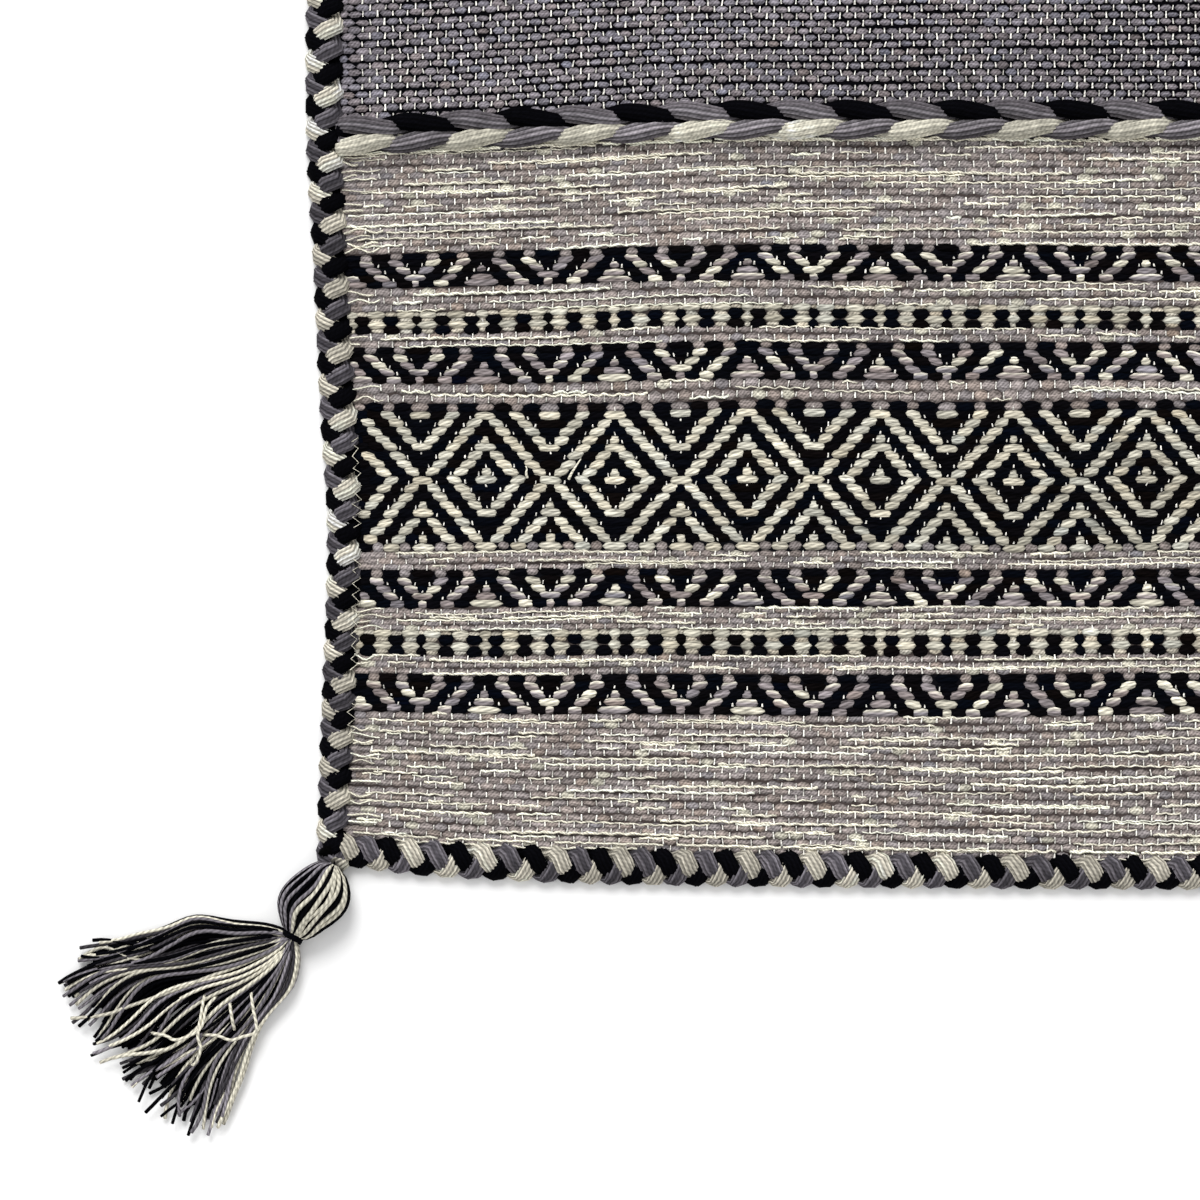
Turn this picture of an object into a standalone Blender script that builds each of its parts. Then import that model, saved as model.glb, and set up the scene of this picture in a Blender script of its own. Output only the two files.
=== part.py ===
"""A flat-woven cotton rug, 60 x 90 cm, laid flat: one woven cloth, a three-strand plait sewn round its
four edges, two twined braids across it where the patterned ends meet the plain field, and a tied
tassel at each corner.

Frame: metres, +Z up, the floor at z = 0. The origin is the middle of the cloth's underside, +X runs
along the wefts and +Y along the warps. Sizes below are in millimetres until they meet MM.
"""

import math

import bmesh
import bpy
from mathutils import Matrix, Vector

MM = 0.001
GAP = 0.3  # between two pieces that touch

# Cloth
WARP_PITCH = 2.5
WARP_COUNT = 234
CLOTH_WIDTH = WARP_PITCH * WARP_COUNT
CLOTH_LENGTH = 878.0
CLOTH_THICKNESS = 4.0
HALF_W = CLOTH_WIDTH / 2
HALF_L = CLOTH_LENGTH / 2
EDGE_STEP = 18.0
CORNER_LENGTH = 5.0

# Twined braid across the cloth
BRAID_FROM_END = 246.3
BRAID_Y = HALF_L - BRAID_FROM_END
BRAID_LOBES = 30
BRAID_HALF_WIDTH = 5.6
BRAID_WAIST = 4.7
BRAID_HEIGHT = 3.6
BRAID_LOW_HEIGHT = 2.3
BRAID_END_MARGIN = 1.0

# Edge plait
PLAIT_BEYOND = 9.7
PLAIT_CORNER_SHARE = 0.5

# Tassel
HEAD_LENGTH = 25.4
HEAD_WIDTH = 18.6
HEAD_HEIGHT = 15.4
HEAD_CENTRE_Z = 7.2
HEAD_OFF_X = 3.4
HEAD_OFF_Y = 9.4
HEAD_YARNS = 12
HEAD_RINGS = 7
HEAD_GROOVE = 0.93
NECK_RADIUS = 3.0
NECK_LENGTH = 9.0
NECK_Z = 5.6
TIE_THICKNESS = 1.5
TIE_WIDTH = 3.6
TIE_FROM_HEAD = 2.1
SHOULDER_START = 4.2
SHOULDER_RADIUS = 2.6
SHOULDER_REACH = 22.0
SHOULDER_HEIGHT = 5.6
SHOULDER_LIFT = 0.4
SHOULDER_SLOPE = 3.0
STRAND_HEIGHT = 1.6
STRAND_LAYERS = 3
LAYER_SHIFT = 0.33
STRANDS_A_LAYER = 12
STRAND_WIDTH = 3.4
STRAND_CLEARANCE = 0.4
STRAND_RINGS = 4
STRAND_ROOT = 18.0
SKIRT_FLARE = 0.62

# How the laid rug departs from a rectangle. Each table runs along two opposite edges. Drawn in is how
# far an edge lies towards the rug's middle, and width is how wide its plait lies.
SIDE_TABLE = (  # y, left drawn in, right drawn in, left plait's width, right plait's width
    (-439, -0.3, 2.0, 9.2, 9.8),
    (-394, 2.2, 1.0, 10.4, 10.6),
    (-333, 4.1, -0.5, 10.3, 11.2),
    (-289, 2.8, -1.0, 11.6, 11.6),
    (-239, 0.0, 0.5, 10.9, 10.8),
    (-189, -1.7, 1.5, 11.9, 10.6),
    (-139, -1.6, 1.0, 11.8, 11.4),
    (0, -0.6, -1.5, 11.2, 11.0),
    (150, 1.5, -2.5, 10.8, 11.6),
    (239, 0.5, 0.0, 11.4, 10.8),
    (333, -1.5, 2.5, 11.0, 11.0),
    (439, 1.5, 1.0, 9.6, 9.4),
)
END_TABLE = (  # x, near drawn in, far drawn in, near plait's width, far plait's width
    (-292.5, 4.0, 2.6, 9.8, 9.4),
    (-268, 2.2, 1.6, 11.2, 10.6),
    (-247, 1.0, 0.6, 11.4, 11.2),
    (-206, -0.3, -0.2, 11.8, 11.6),
    (-139, -1.7, -1.0, 11.4, 11.2),
    (-71, -3.0, -0.4, 10.4, 10.6),
    (0, -3.7, 0.6, 10.0, 11.0),
    (100, -3.0, 0.2, 10.8, 11.6),
    (206, -0.6, -0.8, 11.4, 10.8),
    (292.5, 2.6, 3.0, 9.6, 9.8),
)
PULL_TABLE = (  # y, how far the tight side plaits pull the cloth's edge along +Y
    (-439, 0.0),
    (-312, 0.0),
    (-191, -5.6),
    (-90, -2.6),
    (0, 0.0),
    (90, 2.2),
    (191, 4.2),
    (312, 0.0),
    (439, 0.0),
)
SIDE_FADE = 110.0
PULL_FADE = 140.0
END_FADE = 250.0

# One tassel at each corner: which corner, the way its head points from the corner, the way its skirt
# lies, how wide the skirt is across its tips and how long it is.
TASSEL_TABLE = (  # name, side x, side y, head degrees, skirt degrees, skirt width, skirt length
    ("near_left", -1, -1, 240, 220, 78, 82),
    ("near_right", 1, -1, 306, 319, 68, 80),
    ("far_right", 1, 1, 56, 40, 74, 81),
    ("far_left", -1, 1, 124, 138, 66, 83),
)


def through(table, column, at):
    """The smooth curve through a table's rows, read at one place: Catmull-Rom on the column."""
    if at <= table[0][0]:
        return table[0][column]
    if at >= table[-1][0]:
        return table[-1][column]
    i = next(k for k in range(len(table) - 1) if table[k + 1][0] >= at)
    before, start = table[max(i - 1, 0)], table[i]
    end, after = table[i + 1], table[min(i + 2, len(table) - 1)]
    span = end[0] - start[0]
    t = (at - start[0]) / span
    slope_start = (end[column] - before[column]) / (end[0] - before[0]) * span
    slope_end = (after[column] - start[column]) / (after[0] - start[0]) * span
    return (
        (2 * t**3 - 3 * t**2 + 1) * start[column]
        + (t**3 - 2 * t**2 + t) * slope_start
        + (3 * t**2 - 2 * t**3) * end[column]
        + (t**3 - t**2) * slope_end
    )


def fade(distance, reach, power):
    """1 at an edge, falling to 0 at reach."""
    return max(0.0, 1 - max(distance, 0.0) / reach) ** power


def laid(x, y):
    """Where a point of the evenly woven cloth lies on the floor once the plaits have drawn it in."""
    near_left, near_right = fade(HALF_W + x, SIDE_FADE, 1.5), fade(HALF_W - x, SIDE_FADE, 1.5)
    drawn_x = near_left * through(SIDE_TABLE, 1, y) - near_right * through(SIDE_TABLE, 2, y)
    near_end, far_end = fade(HALF_L + y, END_FADE, 1.0), fade(HALF_L - y, END_FADE, 1.0)
    drawn_y = near_end * through(END_TABLE, 1, x) - far_end * through(END_TABLE, 2, x)
    pulled = fade(HALF_W + x, PULL_FADE, 1.3) + 0.6 * fade(HALF_W - x, PULL_FADE, 1.3)
    return x + drawn_x, y + drawn_y + pulled * through(PULL_TABLE, 1, y)


def steps(start, end, pitch):
    """Even places from start to end, about a pitch apart, both ends included."""
    count = max(1, round(abs(end - start) / pitch))
    return [start + (end - start) * i / count for i in range(count + 1)]


def material(name, colour, roughness):
    made = bpy.data.materials.new(name)
    made.use_nodes = True
    shader = made.node_tree.nodes["Principled BSDF"]
    shader.inputs["Base Color"].default_value = (*colour, 1)
    shader.inputs["Roughness"].default_value = roughness
    shader.inputs["Metallic"].default_value = 0.0
    return made


def place(obj, collection, finish):
    collection.objects.link(obj)
    obj.data.materials.clear()
    obj.data.materials.append(finish)
    return obj


def mesh_object(name, bm):
    bmesh.ops.recalc_face_normals(bm, faces=bm.faces)
    mesh = bpy.data.meshes.new(name)
    bm.to_mesh(mesh)
    bm.free()
    return bpy.data.objects.new(name, mesh)


def loft(bm, rings):
    """A closed solid through rings of points that all have the same count."""
    rows = [[bm.verts.new(point) for point in ring] for ring in rings]
    count = len(rows[0])
    for row, following in zip(rows, rows[1:]):
        for k in range(count):
            m = (k + 1) % count
            bm.faces.new((row[k], row[m], following[m], following[k]))
    bm.faces.new(reversed(rows[0]))
    bm.faces.new(rows[-1])


def edge_places(half):
    """Places along an edge from -half to half, with one close to each corner."""
    close = half - CORNER_LENGTH
    return [-half, -close, *steps(-half, half, EDGE_STEP)[1:-1], close, half]


def cloth_outline():
    """The cloth's edge on the floor, anticlockwise from the near left corner, in mm."""
    across, along = edge_places(HALF_W), edge_places(HALF_L)
    near = [(x, -HALF_L) for x in across[:-1]]
    right = [(HALF_W, y) for y in along[:-1]]
    far = [(-x, HALF_L) for x in across[:-1]]
    left = [(-HALF_W, -y) for y in along[:-1]]
    return [laid(x, y) for x, y in near + right + far + left]


def build_cloth(collection, finish):
    """One flat sheet, woven in one piece."""
    outline = cloth_outline()
    curve = bpy.data.curves.new("cloth", "CURVE")
    curve.dimensions = "2D"
    curve.fill_mode = "BOTH"
    curve.extrude = CLOTH_THICKNESS / 2 * MM
    spline = curve.splines.new("POLY")
    spline.points.add(len(outline) - 1)
    for point, (x, y) in zip(spline.points, outline):
        point.co = (x * MM, y * MM, 0, 1)
    spline.use_cyclic_u = True
    cloth = place(bpy.data.objects.new("cloth", curve), collection, finish)
    cloth.location.z = CLOTH_THICKNESS / 2 * MM
    return cloth


def plait_section(width, share):
    """The plait's outline across: out from the cloth's edge and up, flat on the floor, lower outside."""
    points = (  # out, up
        (0.6, 0.0),
        (width - 2.2, 0.0),
        (width - 0.4, 1.6),
        (width, 3.6),
        (width - 1.6, 5.9),
        (width * 0.5, 7.2),
        (2.0, 7.0),
        (0.0, 4.9),
    )
    return [(out * share, up * (0.5 + 0.5 * share)) for out, up in points]


def build_plait(name, along, width, outward, half, reach, collection, finish):
    """A plait sewn to one edge, whose cloth runs from -half to half and its plait from -reach to reach.
    along gives the cloth's edge at a place and width the plait's width there, both in mm, and outward
    is the way out. It narrows where it reaches a corner."""
    bm = bmesh.new()
    rings = []
    for place_on_edge in (-reach, *edge_places(half)[1:-1], reach):
        share = PLAIT_CORNER_SHARE if abs(place_on_edge) == reach else 1.0
        foot = Vector(along(place_on_edge)).to_3d()
        rings.append(
            [
                (foot + Vector(outward).to_3d() * (GAP + out) + Vector((0, 0, up))) * MM
                for out, up in plait_section(width(place_on_edge), share)
            ]
        )
    loft(bm, rings)
    return place(mesh_object(name, bm), collection, finish)


def build_plaits(collection, finish):
    """Side plaits run past the cloth's corners, and end plaits lie between them."""
    for name, side in (("plait_left", -1), ("plait_right", 1)):
        build_plait(
            name,
            lambda y, side=side: side_edge(side, y),
            lambda y, column=3 if side < 0 else 4: through(SIDE_TABLE, column, y),
            (side, 0),
            HALF_L,
            HALF_L + PLAIT_BEYOND,
            collection,
            finish,
        )
    for name, side in (("plait_near", -1), ("plait_far", 1)):
        build_plait(
            name,
            lambda x, side=side: laid(x, side * HALF_L),
            lambda x, column=3 if side < 0 else 4: through(END_TABLE, column, x),
            (0, side),
            HALF_W,
            HALF_W - GAP,
            collection,
            finish,
        )


def side_edge(side, y):
    """The cloth's side edge at y, and on past its corner in line with it."""
    x, foot = laid(side * HALF_W, max(-HALF_L, min(HALF_L, y)))
    beyond = y - max(-HALF_L, min(HALF_L, y))
    return x, foot + beyond


def braid_section(share):
    """A twined braid across: two rows of lobes side by side on the cloth, full at share 1."""
    half = BRAID_WAIST + (BRAID_HALF_WIDTH - BRAID_WAIST) * share
    height = BRAID_LOW_HEIGHT + (BRAID_HEIGHT - BRAID_LOW_HEIGHT) * share
    return (  # across, up
        (-half + 0.8, 0.0),
        (half - 0.8, 0.0),
        (half, height * 0.45),
        (half * 0.52, height),
        (0.0, height * 0.72),
        (-half * 0.52, height),
        (-half, height * 0.45),
    )


def build_twined_braid(name, y, collection, finish):
    """Two rows of twined strands on top of the cloth, whose lobes swell and narrow together."""
    bm = bmesh.new()
    start, end = -HALF_W + BRAID_END_MARGIN, HALF_W - BRAID_END_MARGIN
    rings = []
    for k in range(2 * BRAID_LOBES + 1):
        x = start + (end - start) * k / (2 * BRAID_LOBES)
        foot_x, foot_y = laid(x, y)
        base = CLOTH_THICKNESS + GAP
        rings.append(
            [
                Vector((foot_x, foot_y + across, base + up)) * MM
                for across, up in braid_section(k % 2)
            ]
        )
    loft(bm, rings)
    return place(mesh_object(name, bm), collection, finish)


def head_object(name, centre, angle):
    """A bulb of gathered yarns lying on its side, with grooves between them and a flat underneath."""
    bm = bmesh.new()
    bmesh.ops.create_uvsphere(bm, u_segments=2 * HEAD_YARNS, v_segments=HEAD_RINGS, radius=1)
    for vert in bm.verts:
        x, y, z = vert.co
        turn = round(math.atan2(y, x) / math.pi * HEAD_YARNS)
        ridge = 1.0 if turn % 2 else HEAD_GROOVE
        vert.co = (
            z * HEAD_LENGTH / 2,
            y * ridge * HEAD_WIDTH / 2,
            max(x * ridge * HEAD_HEIGHT / 2, -HEAD_CENTRE_Z),
        )
    move = Matrix.Translation(centre) @ Matrix.Rotation(angle, 4, "Z")
    bmesh.ops.transform(bm, matrix=Matrix.Scale(MM, 4) @ move, verts=bm.verts)
    return mesh_object(name, bm)


def skirt_place(neck, angle, width, length, lane, reach):
    """A place in the skirt on the floor: lane runs from -0.5 to 0.5 across it, reach is the distance
    from the neck. The skirt opens quickly at first and more slowly on."""
    sideways = lane * width * (reach / length) ** SKIRT_FLARE
    forward = math.sqrt(reach**2 - sideways**2)
    ray = Vector((math.cos(angle), math.sin(angle), 0))
    across = Vector((-ray.y, ray.x, 0))
    return Vector((neck.x, neck.y, 0)) + ray * forward + across * sideways


def shoulder_object(name, neck, angle, width, length):
    """Where the skirt's strands leave the neck together: the hull of the neck and of a low arc."""
    bm = bmesh.new()
    ray = Vector((math.cos(angle), math.sin(angle), 0))
    side = Vector((-ray.y, ray.x, 0))
    for k in range(8):
        turn = math.tau * (k + 0.5) / 8
        offset = side * math.cos(turn) + Vector((0, 0, math.sin(turn)))
        bm.verts.new(neck + ray * SHOULDER_START + offset * SHOULDER_RADIUS)
    for k in range(7):
        lane = k / 6 - 0.5
        foot = skirt_place(neck, angle, width, length, lane, SHOULDER_REACH)
        crest = skirt_place(neck, angle, width, length, lane, SHOULDER_REACH - SHOULDER_SLOPE)
        bm.verts.new(foot + Vector((0, 0, SHOULDER_LIFT)))
        bm.verts.new(crest + Vector((0, 0, SHOULDER_HEIGHT)))
    bmesh.ops.convex_hull(bm, input=bm.verts)
    bmesh.ops.transform(bm, matrix=Matrix.Scale(MM, 4), verts=bm.verts)
    return mesh_object(name, bm)


def neck_object(name, neck, angle):
    """The waist between head and skirt, which the tie goes round."""
    bm = bmesh.new()
    bmesh.ops.create_cone(
        bm, cap_ends=True, segments=12, radius1=NECK_RADIUS, radius2=NECK_RADIUS, depth=NECK_LENGTH
    )
    move = Matrix.Translation(neck) @ Matrix.Rotation(angle, 4, "Z") @ Matrix.Rotation(math.pi / 2, 4, "Y")
    bmesh.ops.transform(bm, matrix=Matrix.Scale(MM, 4) @ move, verts=bm.verts)
    return mesh_object(name, bm)


def strand_rings(neck, angle, width, length, layer, number):
    """One skirt strand: three-sided, its flat side down, in its own lane of its layer."""
    lane = (number + 0.5 + LAYER_SHIFT * (layer - 1)) / STRANDS_A_LAYER - 0.5
    own_length = length * (1 - 0.06 * layer) * (1 - 0.09 * math.sin(7.0 * number + 2.1 * layer) ** 2)
    base = layer * (STRAND_HEIGHT + GAP)
    rings = []
    for reach in steps(STRAND_ROOT, own_length, (own_length - STRAND_ROOT) / (STRAND_RINGS - 1)):
        foot = skirt_place(neck, angle, width, length, lane, reach)
        beyond = skirt_place(neck, angle, width, length, lane, reach + 1)
        along = (beyond - foot).normalized()
        across = Vector((-along.y, along.x, 0))
        lane_width = width * (reach / length) ** SKIRT_FLARE / STRANDS_A_LAYER
        half = min(STRAND_WIDTH, lane_width - STRAND_CLEARANCE) / 2
        low, high = Vector((0, 0, base)), Vector((0, 0, base + STRAND_HEIGHT))
        rings.append([p * MM for p in (foot - across * half + low, foot + across * half + low, foot + high)])
    return rings


def strands_object(name, neck, angle, width, length):
    bm = bmesh.new()
    for layer in range(STRAND_LAYERS):
        for number in range(STRANDS_A_LAYER):
            loft(bm, strand_rings(neck, angle, width, length, layer, number))
    return mesh_object(name, bm)


def united(name, pieces, collection, cutters):
    """One mesh from overlapping ones, by Boolean unions."""
    body, *others = pieces
    collection.objects.link(body)
    body.name = name
    for other in others:
        cutters.objects.link(other)
        other.hide_render = True
        other.display_type = "WIRE"
        joined = body.modifiers.new("join " + other.name, "BOOLEAN")
        joined.operation = "UNION"
        joined.object = other
    return body


def build_tassel(row, collection, cutters, finish, tie_finish):
    name, side_x, side_y, head_degrees, skirt_degrees, width, length = row
    head_way, skirt_way = math.radians(head_degrees), math.radians(skirt_degrees)
    corner_x, corner_y = laid(side_x * HALF_W, side_y * HALF_L)
    top = Vector((corner_x + side_x * HEAD_OFF_X, corner_y + side_y * HEAD_OFF_Y, HEAD_CENTRE_Z))
    ray = Vector((math.cos(head_way), math.sin(head_way), 0))
    neck = top + ray * (HEAD_LENGTH + TIE_FROM_HEAD)
    neck.z = NECK_Z
    pieces = [
        head_object(f"{name}_head", top + ray * (HEAD_LENGTH / 2), head_way),
        neck_object(f"{name}_neck", neck, head_way),
        shoulder_object(f"{name}_shoulder", neck, skirt_way, width, length),
        strands_object(f"{name}_strands", neck, skirt_way, width, length),
    ]
    tassel = united(f"tassel_{name}", pieces, collection, cutters)
    tassel.data.materials.append(finish)

    bpy.ops.mesh.primitive_torus_add(
        major_segments=16,
        minor_segments=6,
        major_radius=(NECK_RADIUS + GAP + TIE_THICKNESS / 2) * MM,
        minor_radius=TIE_THICKNESS / 2 * MM,
        location=neck * MM,
        rotation=(0, math.pi / 2, head_way),
    )
    tie = bpy.context.object
    tie.data.transform(Matrix.Scale(TIE_WIDTH / TIE_THICKNESS, 4, (0, 0, 1)))
    tie.name = f"tie_{name}"
    for holder in list(tie.users_collection):
        holder.objects.unlink(tie)
    place(tie, collection, tie_finish)


def main():
    for obj in list(bpy.data.objects):
        bpy.data.objects.remove(obj)
    rug = bpy.data.collections.new("rug")
    cutters = bpy.data.collections.new("cutters")
    for collection in (rug, cutters):
        bpy.context.scene.collection.children.link(collection)

    woven = material("woven", (0.26, 0.24, 0.25), 0.95)
    plaited = material("plaited", (0.16, 0.155, 0.155), 0.95)
    twined = material("twined", (0.19, 0.18, 0.18), 0.95)
    tassel_yarn = material("tassel yarn", (0.21, 0.2, 0.19), 0.95)
    black_yarn = material("black yarn", (0.008, 0.008, 0.012), 0.9)

    build_cloth(rug, woven)
    build_plaits(rug, plaited)
    build_twined_braid("braid_near", -BRAID_Y, rug, twined)
    build_twined_braid("braid_far", BRAID_Y, rug, twined)
    for row in TASSEL_TABLE:
        build_tassel(row, rug, cutters, tassel_yarn, black_yarn)


main()
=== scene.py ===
"""Looks of the flat-woven cotton rug: every weft bead of the cloth, the charted bands of black and cream
floats, the twined braids, the three-strand plaits round the edges and the tied tassels at the corners.

Sizes are in millimetres until they meet MM. The tables that say how the rug lies are the part's own.
Colours are given as they look, 0 to 255 a channel.
"""

import math

import bpy
import numpy as np
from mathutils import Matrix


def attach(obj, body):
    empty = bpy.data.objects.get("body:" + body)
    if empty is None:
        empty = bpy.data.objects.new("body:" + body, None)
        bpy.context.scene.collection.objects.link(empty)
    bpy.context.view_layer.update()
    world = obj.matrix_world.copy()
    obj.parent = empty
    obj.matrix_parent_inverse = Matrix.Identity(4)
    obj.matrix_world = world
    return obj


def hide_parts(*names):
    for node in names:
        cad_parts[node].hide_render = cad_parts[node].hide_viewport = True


MM = 0.001

# Cloth, as the part has it, but for END_FADE: the ends' drawing in fades sooner, as the bands show
WARP_PITCH = 2.5
WARP_COUNT = 234
HALF_W = WARP_PITCH * WARP_COUNT / 2
CLOTH_LENGTH = 878.0
HALF_L = CLOTH_LENGTH / 2
BRAID_FROM_END = 246.3
BRAID_Y = HALF_L - BRAID_FROM_END
PLAIT_BEYOND = 9.7  # how far the side plaits reach past the corners
SIDE_FADE, PULL_FADE, END_FADE = 110.0, 140.0, 55.0

SIDE_TABLE = (  # y, left drawn in, right drawn in, left plait's width, right plait's width
    (-439, -0.3, 2.0, 9.2, 9.8),
    (-394, 2.2, 1.0, 10.4, 10.6),
    (-333, 4.1, -0.5, 10.3, 11.2),
    (-289, 2.8, -1.0, 11.6, 11.6),
    (-239, 0.0, 0.5, 10.9, 10.8),
    (-189, -1.7, 1.5, 11.9, 10.6),
    (-139, -1.6, 1.0, 11.8, 11.4),
    (0, -0.6, -1.5, 11.2, 11.0),
    (150, 1.5, -2.5, 10.8, 11.6),
    (239, 0.5, 0.0, 11.4, 10.8),
    (333, -1.5, 2.5, 11.0, 11.0),
    (439, 1.5, 1.0, 9.6, 9.4),
)
END_TABLE = (  # x, near drawn in, far drawn in, near plait's width, far plait's width
    (-292.5, 4.0, 2.6, 9.8, 9.4),
    (-268, 2.2, 1.6, 11.2, 10.6),
    (-247, 1.0, 0.6, 11.4, 11.2),
    (-206, -0.3, -0.2, 11.8, 11.6),
    (-139, -1.7, -1.0, 11.4, 11.2),
    (-71, -3.0, -0.4, 10.4, 10.6),
    (0, -3.7, 0.6, 10.0, 11.0),
    (100, -3.0, 0.2, 10.8, 11.6),
    (206, -0.6, -0.8, 11.4, 10.8),
    (292.5, 2.6, 3.0, 9.6, 9.8),
)
PULL_TABLE = (  # y, how far the tight side plaits pull the cloth's edge along +Y
    (-439, 0.0),
    (-312, 0.0),
    (-191, -5.6),
    (-90, -2.6),
    (0, 0.0),
    (90, 2.2),
    (191, 4.2),
    (312, 0.0),
    (439, 0.0),
)

# Tassels, as the part has them
HEAD_LENGTH, HEAD_WIDTH, HEAD_HEIGHT, HEAD_CENTRE_Z = 25.4, 18.6, 15.4, 7.2
HEAD_OFF_X, HEAD_OFF_Y = 3.4, 9.4
NECK_Z = 5.6
TIE_FROM_HEAD = 2.1
TASSEL_TABLE = (  # name, side x, side y, head degrees, skirt degrees, skirt width, skirt length
    ("near_left", -1, -1, 240, 220, 78, 82),
    ("near_right", 1, -1, 306, 319, 68, 80),
    ("far_right", 1, 1, 56, 40, 74, 81),
    ("far_left", -1, 1, 124, 138, 66, 83),
)

# Yarn colours
CREAM = (212, 207, 190)
PALE = (246, 241, 222)
TICK = (252, 249, 240)
BLACK = (7, 7, 11)
LIGHT_GROUND = (160, 150, 147)
FIELD = (142, 136, 143)
MIXED = (150, 141, 142)
BETWEEN_DOTS = (196, 189, 174)
DARK_GREY = (76, 73, 78)
MID_GREY = (146, 141, 148)

# The weave from either end of the cloth inwards, up to the twined braid
BANDS = (  # weave, rows, depth in mm
    ("light", 19, 45.6),
    ("zigzag", 5, 13.6),
    ("light", 3, 6.5),
    ("dots", 4, 8.4),
    ("light", 4, 7.7),
    ("zigzag", 5, 12.8),
    ("light", 3, 6.0),
    ("diamonds", 18, 50.7),
    ("light", 2, 7.2),
    ("zigzag", 5, 12.9),
    ("light", 2, 5.0),
    ("dots", 4, 7.5),
    ("light", 3, 8.4),
    ("zigzag", 5, 12.2),
    ("light", 15, 35.5),
)
FIELD_ROW = 2.4
FLOAT_TILT = 0.6

# The bands' charts, half a repeat of 18 warps: from the middle of a diamond to the middle of the next
# gap. Rows run from the cloth's middle to its end. o is a cream float, # a black one, . plain ground.
DIAMONDS = (
    "..##..##..",
    "oo##oo##oo",
    "#oo##oo###",
    "##oo##oo##",
    "o##oo##oo#",
    "oo##oo##oo",
    "#oo##oo###",
    "##oo##oo##",
    "o##oo##oo#",
    "oo##oo##oo",
    "###oo##oo#",
    "##oo##oo##",
    "#oo##oo##o",
    "oo##oo##oo",
    "###oo##oo#",
    "##oo##oo##",
    "#oo##oo##o",
    "oo..oo..oo",
)
ZIGZAG = (
    "##..##..##",
    "##oo##oo##",
    "o##oo##oo#",
    "oo##oo##oo",
    "ooo##oo##o",
)
DOTS = (
    "o..oo..oo.",
    ".##..##..#",
    "o..oo..oo.",
    ".##..##..#",
)
CHARTS = {"diamonds": DIAMONDS, "zigzag": ZIGZAG, "dots": DOTS}
REPEAT = 18
CHART_SHIFT = 0.4  # how far the charts' middles lie past a warp

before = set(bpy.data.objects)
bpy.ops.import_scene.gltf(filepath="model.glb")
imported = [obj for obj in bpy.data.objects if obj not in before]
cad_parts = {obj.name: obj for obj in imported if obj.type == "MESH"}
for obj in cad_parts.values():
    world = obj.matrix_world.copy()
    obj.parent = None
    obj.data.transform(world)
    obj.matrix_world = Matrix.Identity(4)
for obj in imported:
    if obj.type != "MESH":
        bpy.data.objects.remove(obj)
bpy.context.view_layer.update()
random = np.random.default_rng(20)


def linear(colour):
    """A colour as it looks, 0 to 255, as Blender wants it."""
    c = np.asarray(colour, float) / 255
    return np.where(c <= 0.04045, c / 12.92, ((c + 0.055) / 1.055) ** 2.4)


# How the cloth lies


def through(table, column, at):
    """The smooth curve through a table's rows, read at many places: Catmull-Rom on the column."""
    rows = np.array(table, float)
    places, values = rows[:, 0], rows[:, column]
    at = np.clip(at, places[0], places[-1])
    i = np.clip(np.searchsorted(places, at, "left") - 1, 0, len(places) - 2)
    before, after = np.maximum(i - 1, 0), np.minimum(i + 2, len(places) - 1)
    span = places[i + 1] - places[i]
    t = (at - places[i]) / span
    slope_start = (values[i + 1] - values[before]) / (places[i + 1] - places[before]) * span
    slope_end = (values[after] - values[i]) / (places[after] - places[i]) * span
    return (
        (2 * t**3 - 3 * t**2 + 1) * values[i]
        + (t**3 - 2 * t**2 + t) * slope_start
        + (3 * t**2 - 2 * t**3) * values[i + 1]
        + (t**3 - t**2) * slope_end
    )


def fade(distance, reach, power):
    """1 at an edge, falling to 0 at reach."""
    return np.maximum(0.0, 1 - np.maximum(distance, 0.0) / reach) ** power


def laid(x, y):
    """Where a point of the evenly woven cloth lies on the floor once the plaits have drawn it in."""
    near_left, near_right = fade(HALF_W + x, SIDE_FADE, 1.5), fade(HALF_W - x, SIDE_FADE, 1.5)
    drawn_x = near_left * through(SIDE_TABLE, 1, y) - near_right * through(SIDE_TABLE, 2, y)
    near_end, far_end = fade(HALF_L + y, END_FADE, 1.0), fade(HALF_L - y, END_FADE, 1.0)
    drawn_y = near_end * through(END_TABLE, 1, x) - far_end * through(END_TABLE, 2, x)
    pulled = fade(HALF_W + x, PULL_FADE, 1.3) + 0.6 * fade(HALF_W - x, PULL_FADE, 1.3)
    return x + drawn_x, y + drawn_y + pulled * through(PULL_TABLE, 1, y)


WAVE_COUNT = 5
WAVE_SUM = 2.6  # so many waves mostly add up to less


def waves(x, y, seed, length):
    """A slow uneven swing over the cloth, mostly between -1 and 1, with waves about a length long."""
    turns = np.random.default_rng(seed)
    total = 0.0
    for _ in range(WAVE_COUNT):
        angle = turns.uniform(0, math.pi)
        pitch = length * turns.uniform(0.6, 1.7)
        along = x * math.cos(angle) + y * math.sin(angle)
        total = total + np.sin(math.tau * along / pitch + turns.uniform(0, math.tau))
    return total / WAVE_SUM


# Meshes


def placed(name, data):
    """A new object in the scene."""
    thing = bpy.data.objects.new(name, data)
    bpy.context.scene.collection.objects.link(thing)
    return thing


def fill(items, name, values, kind=np.float32):
    items.foreach_set(name, np.asarray(values, kind).ravel())


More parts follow.
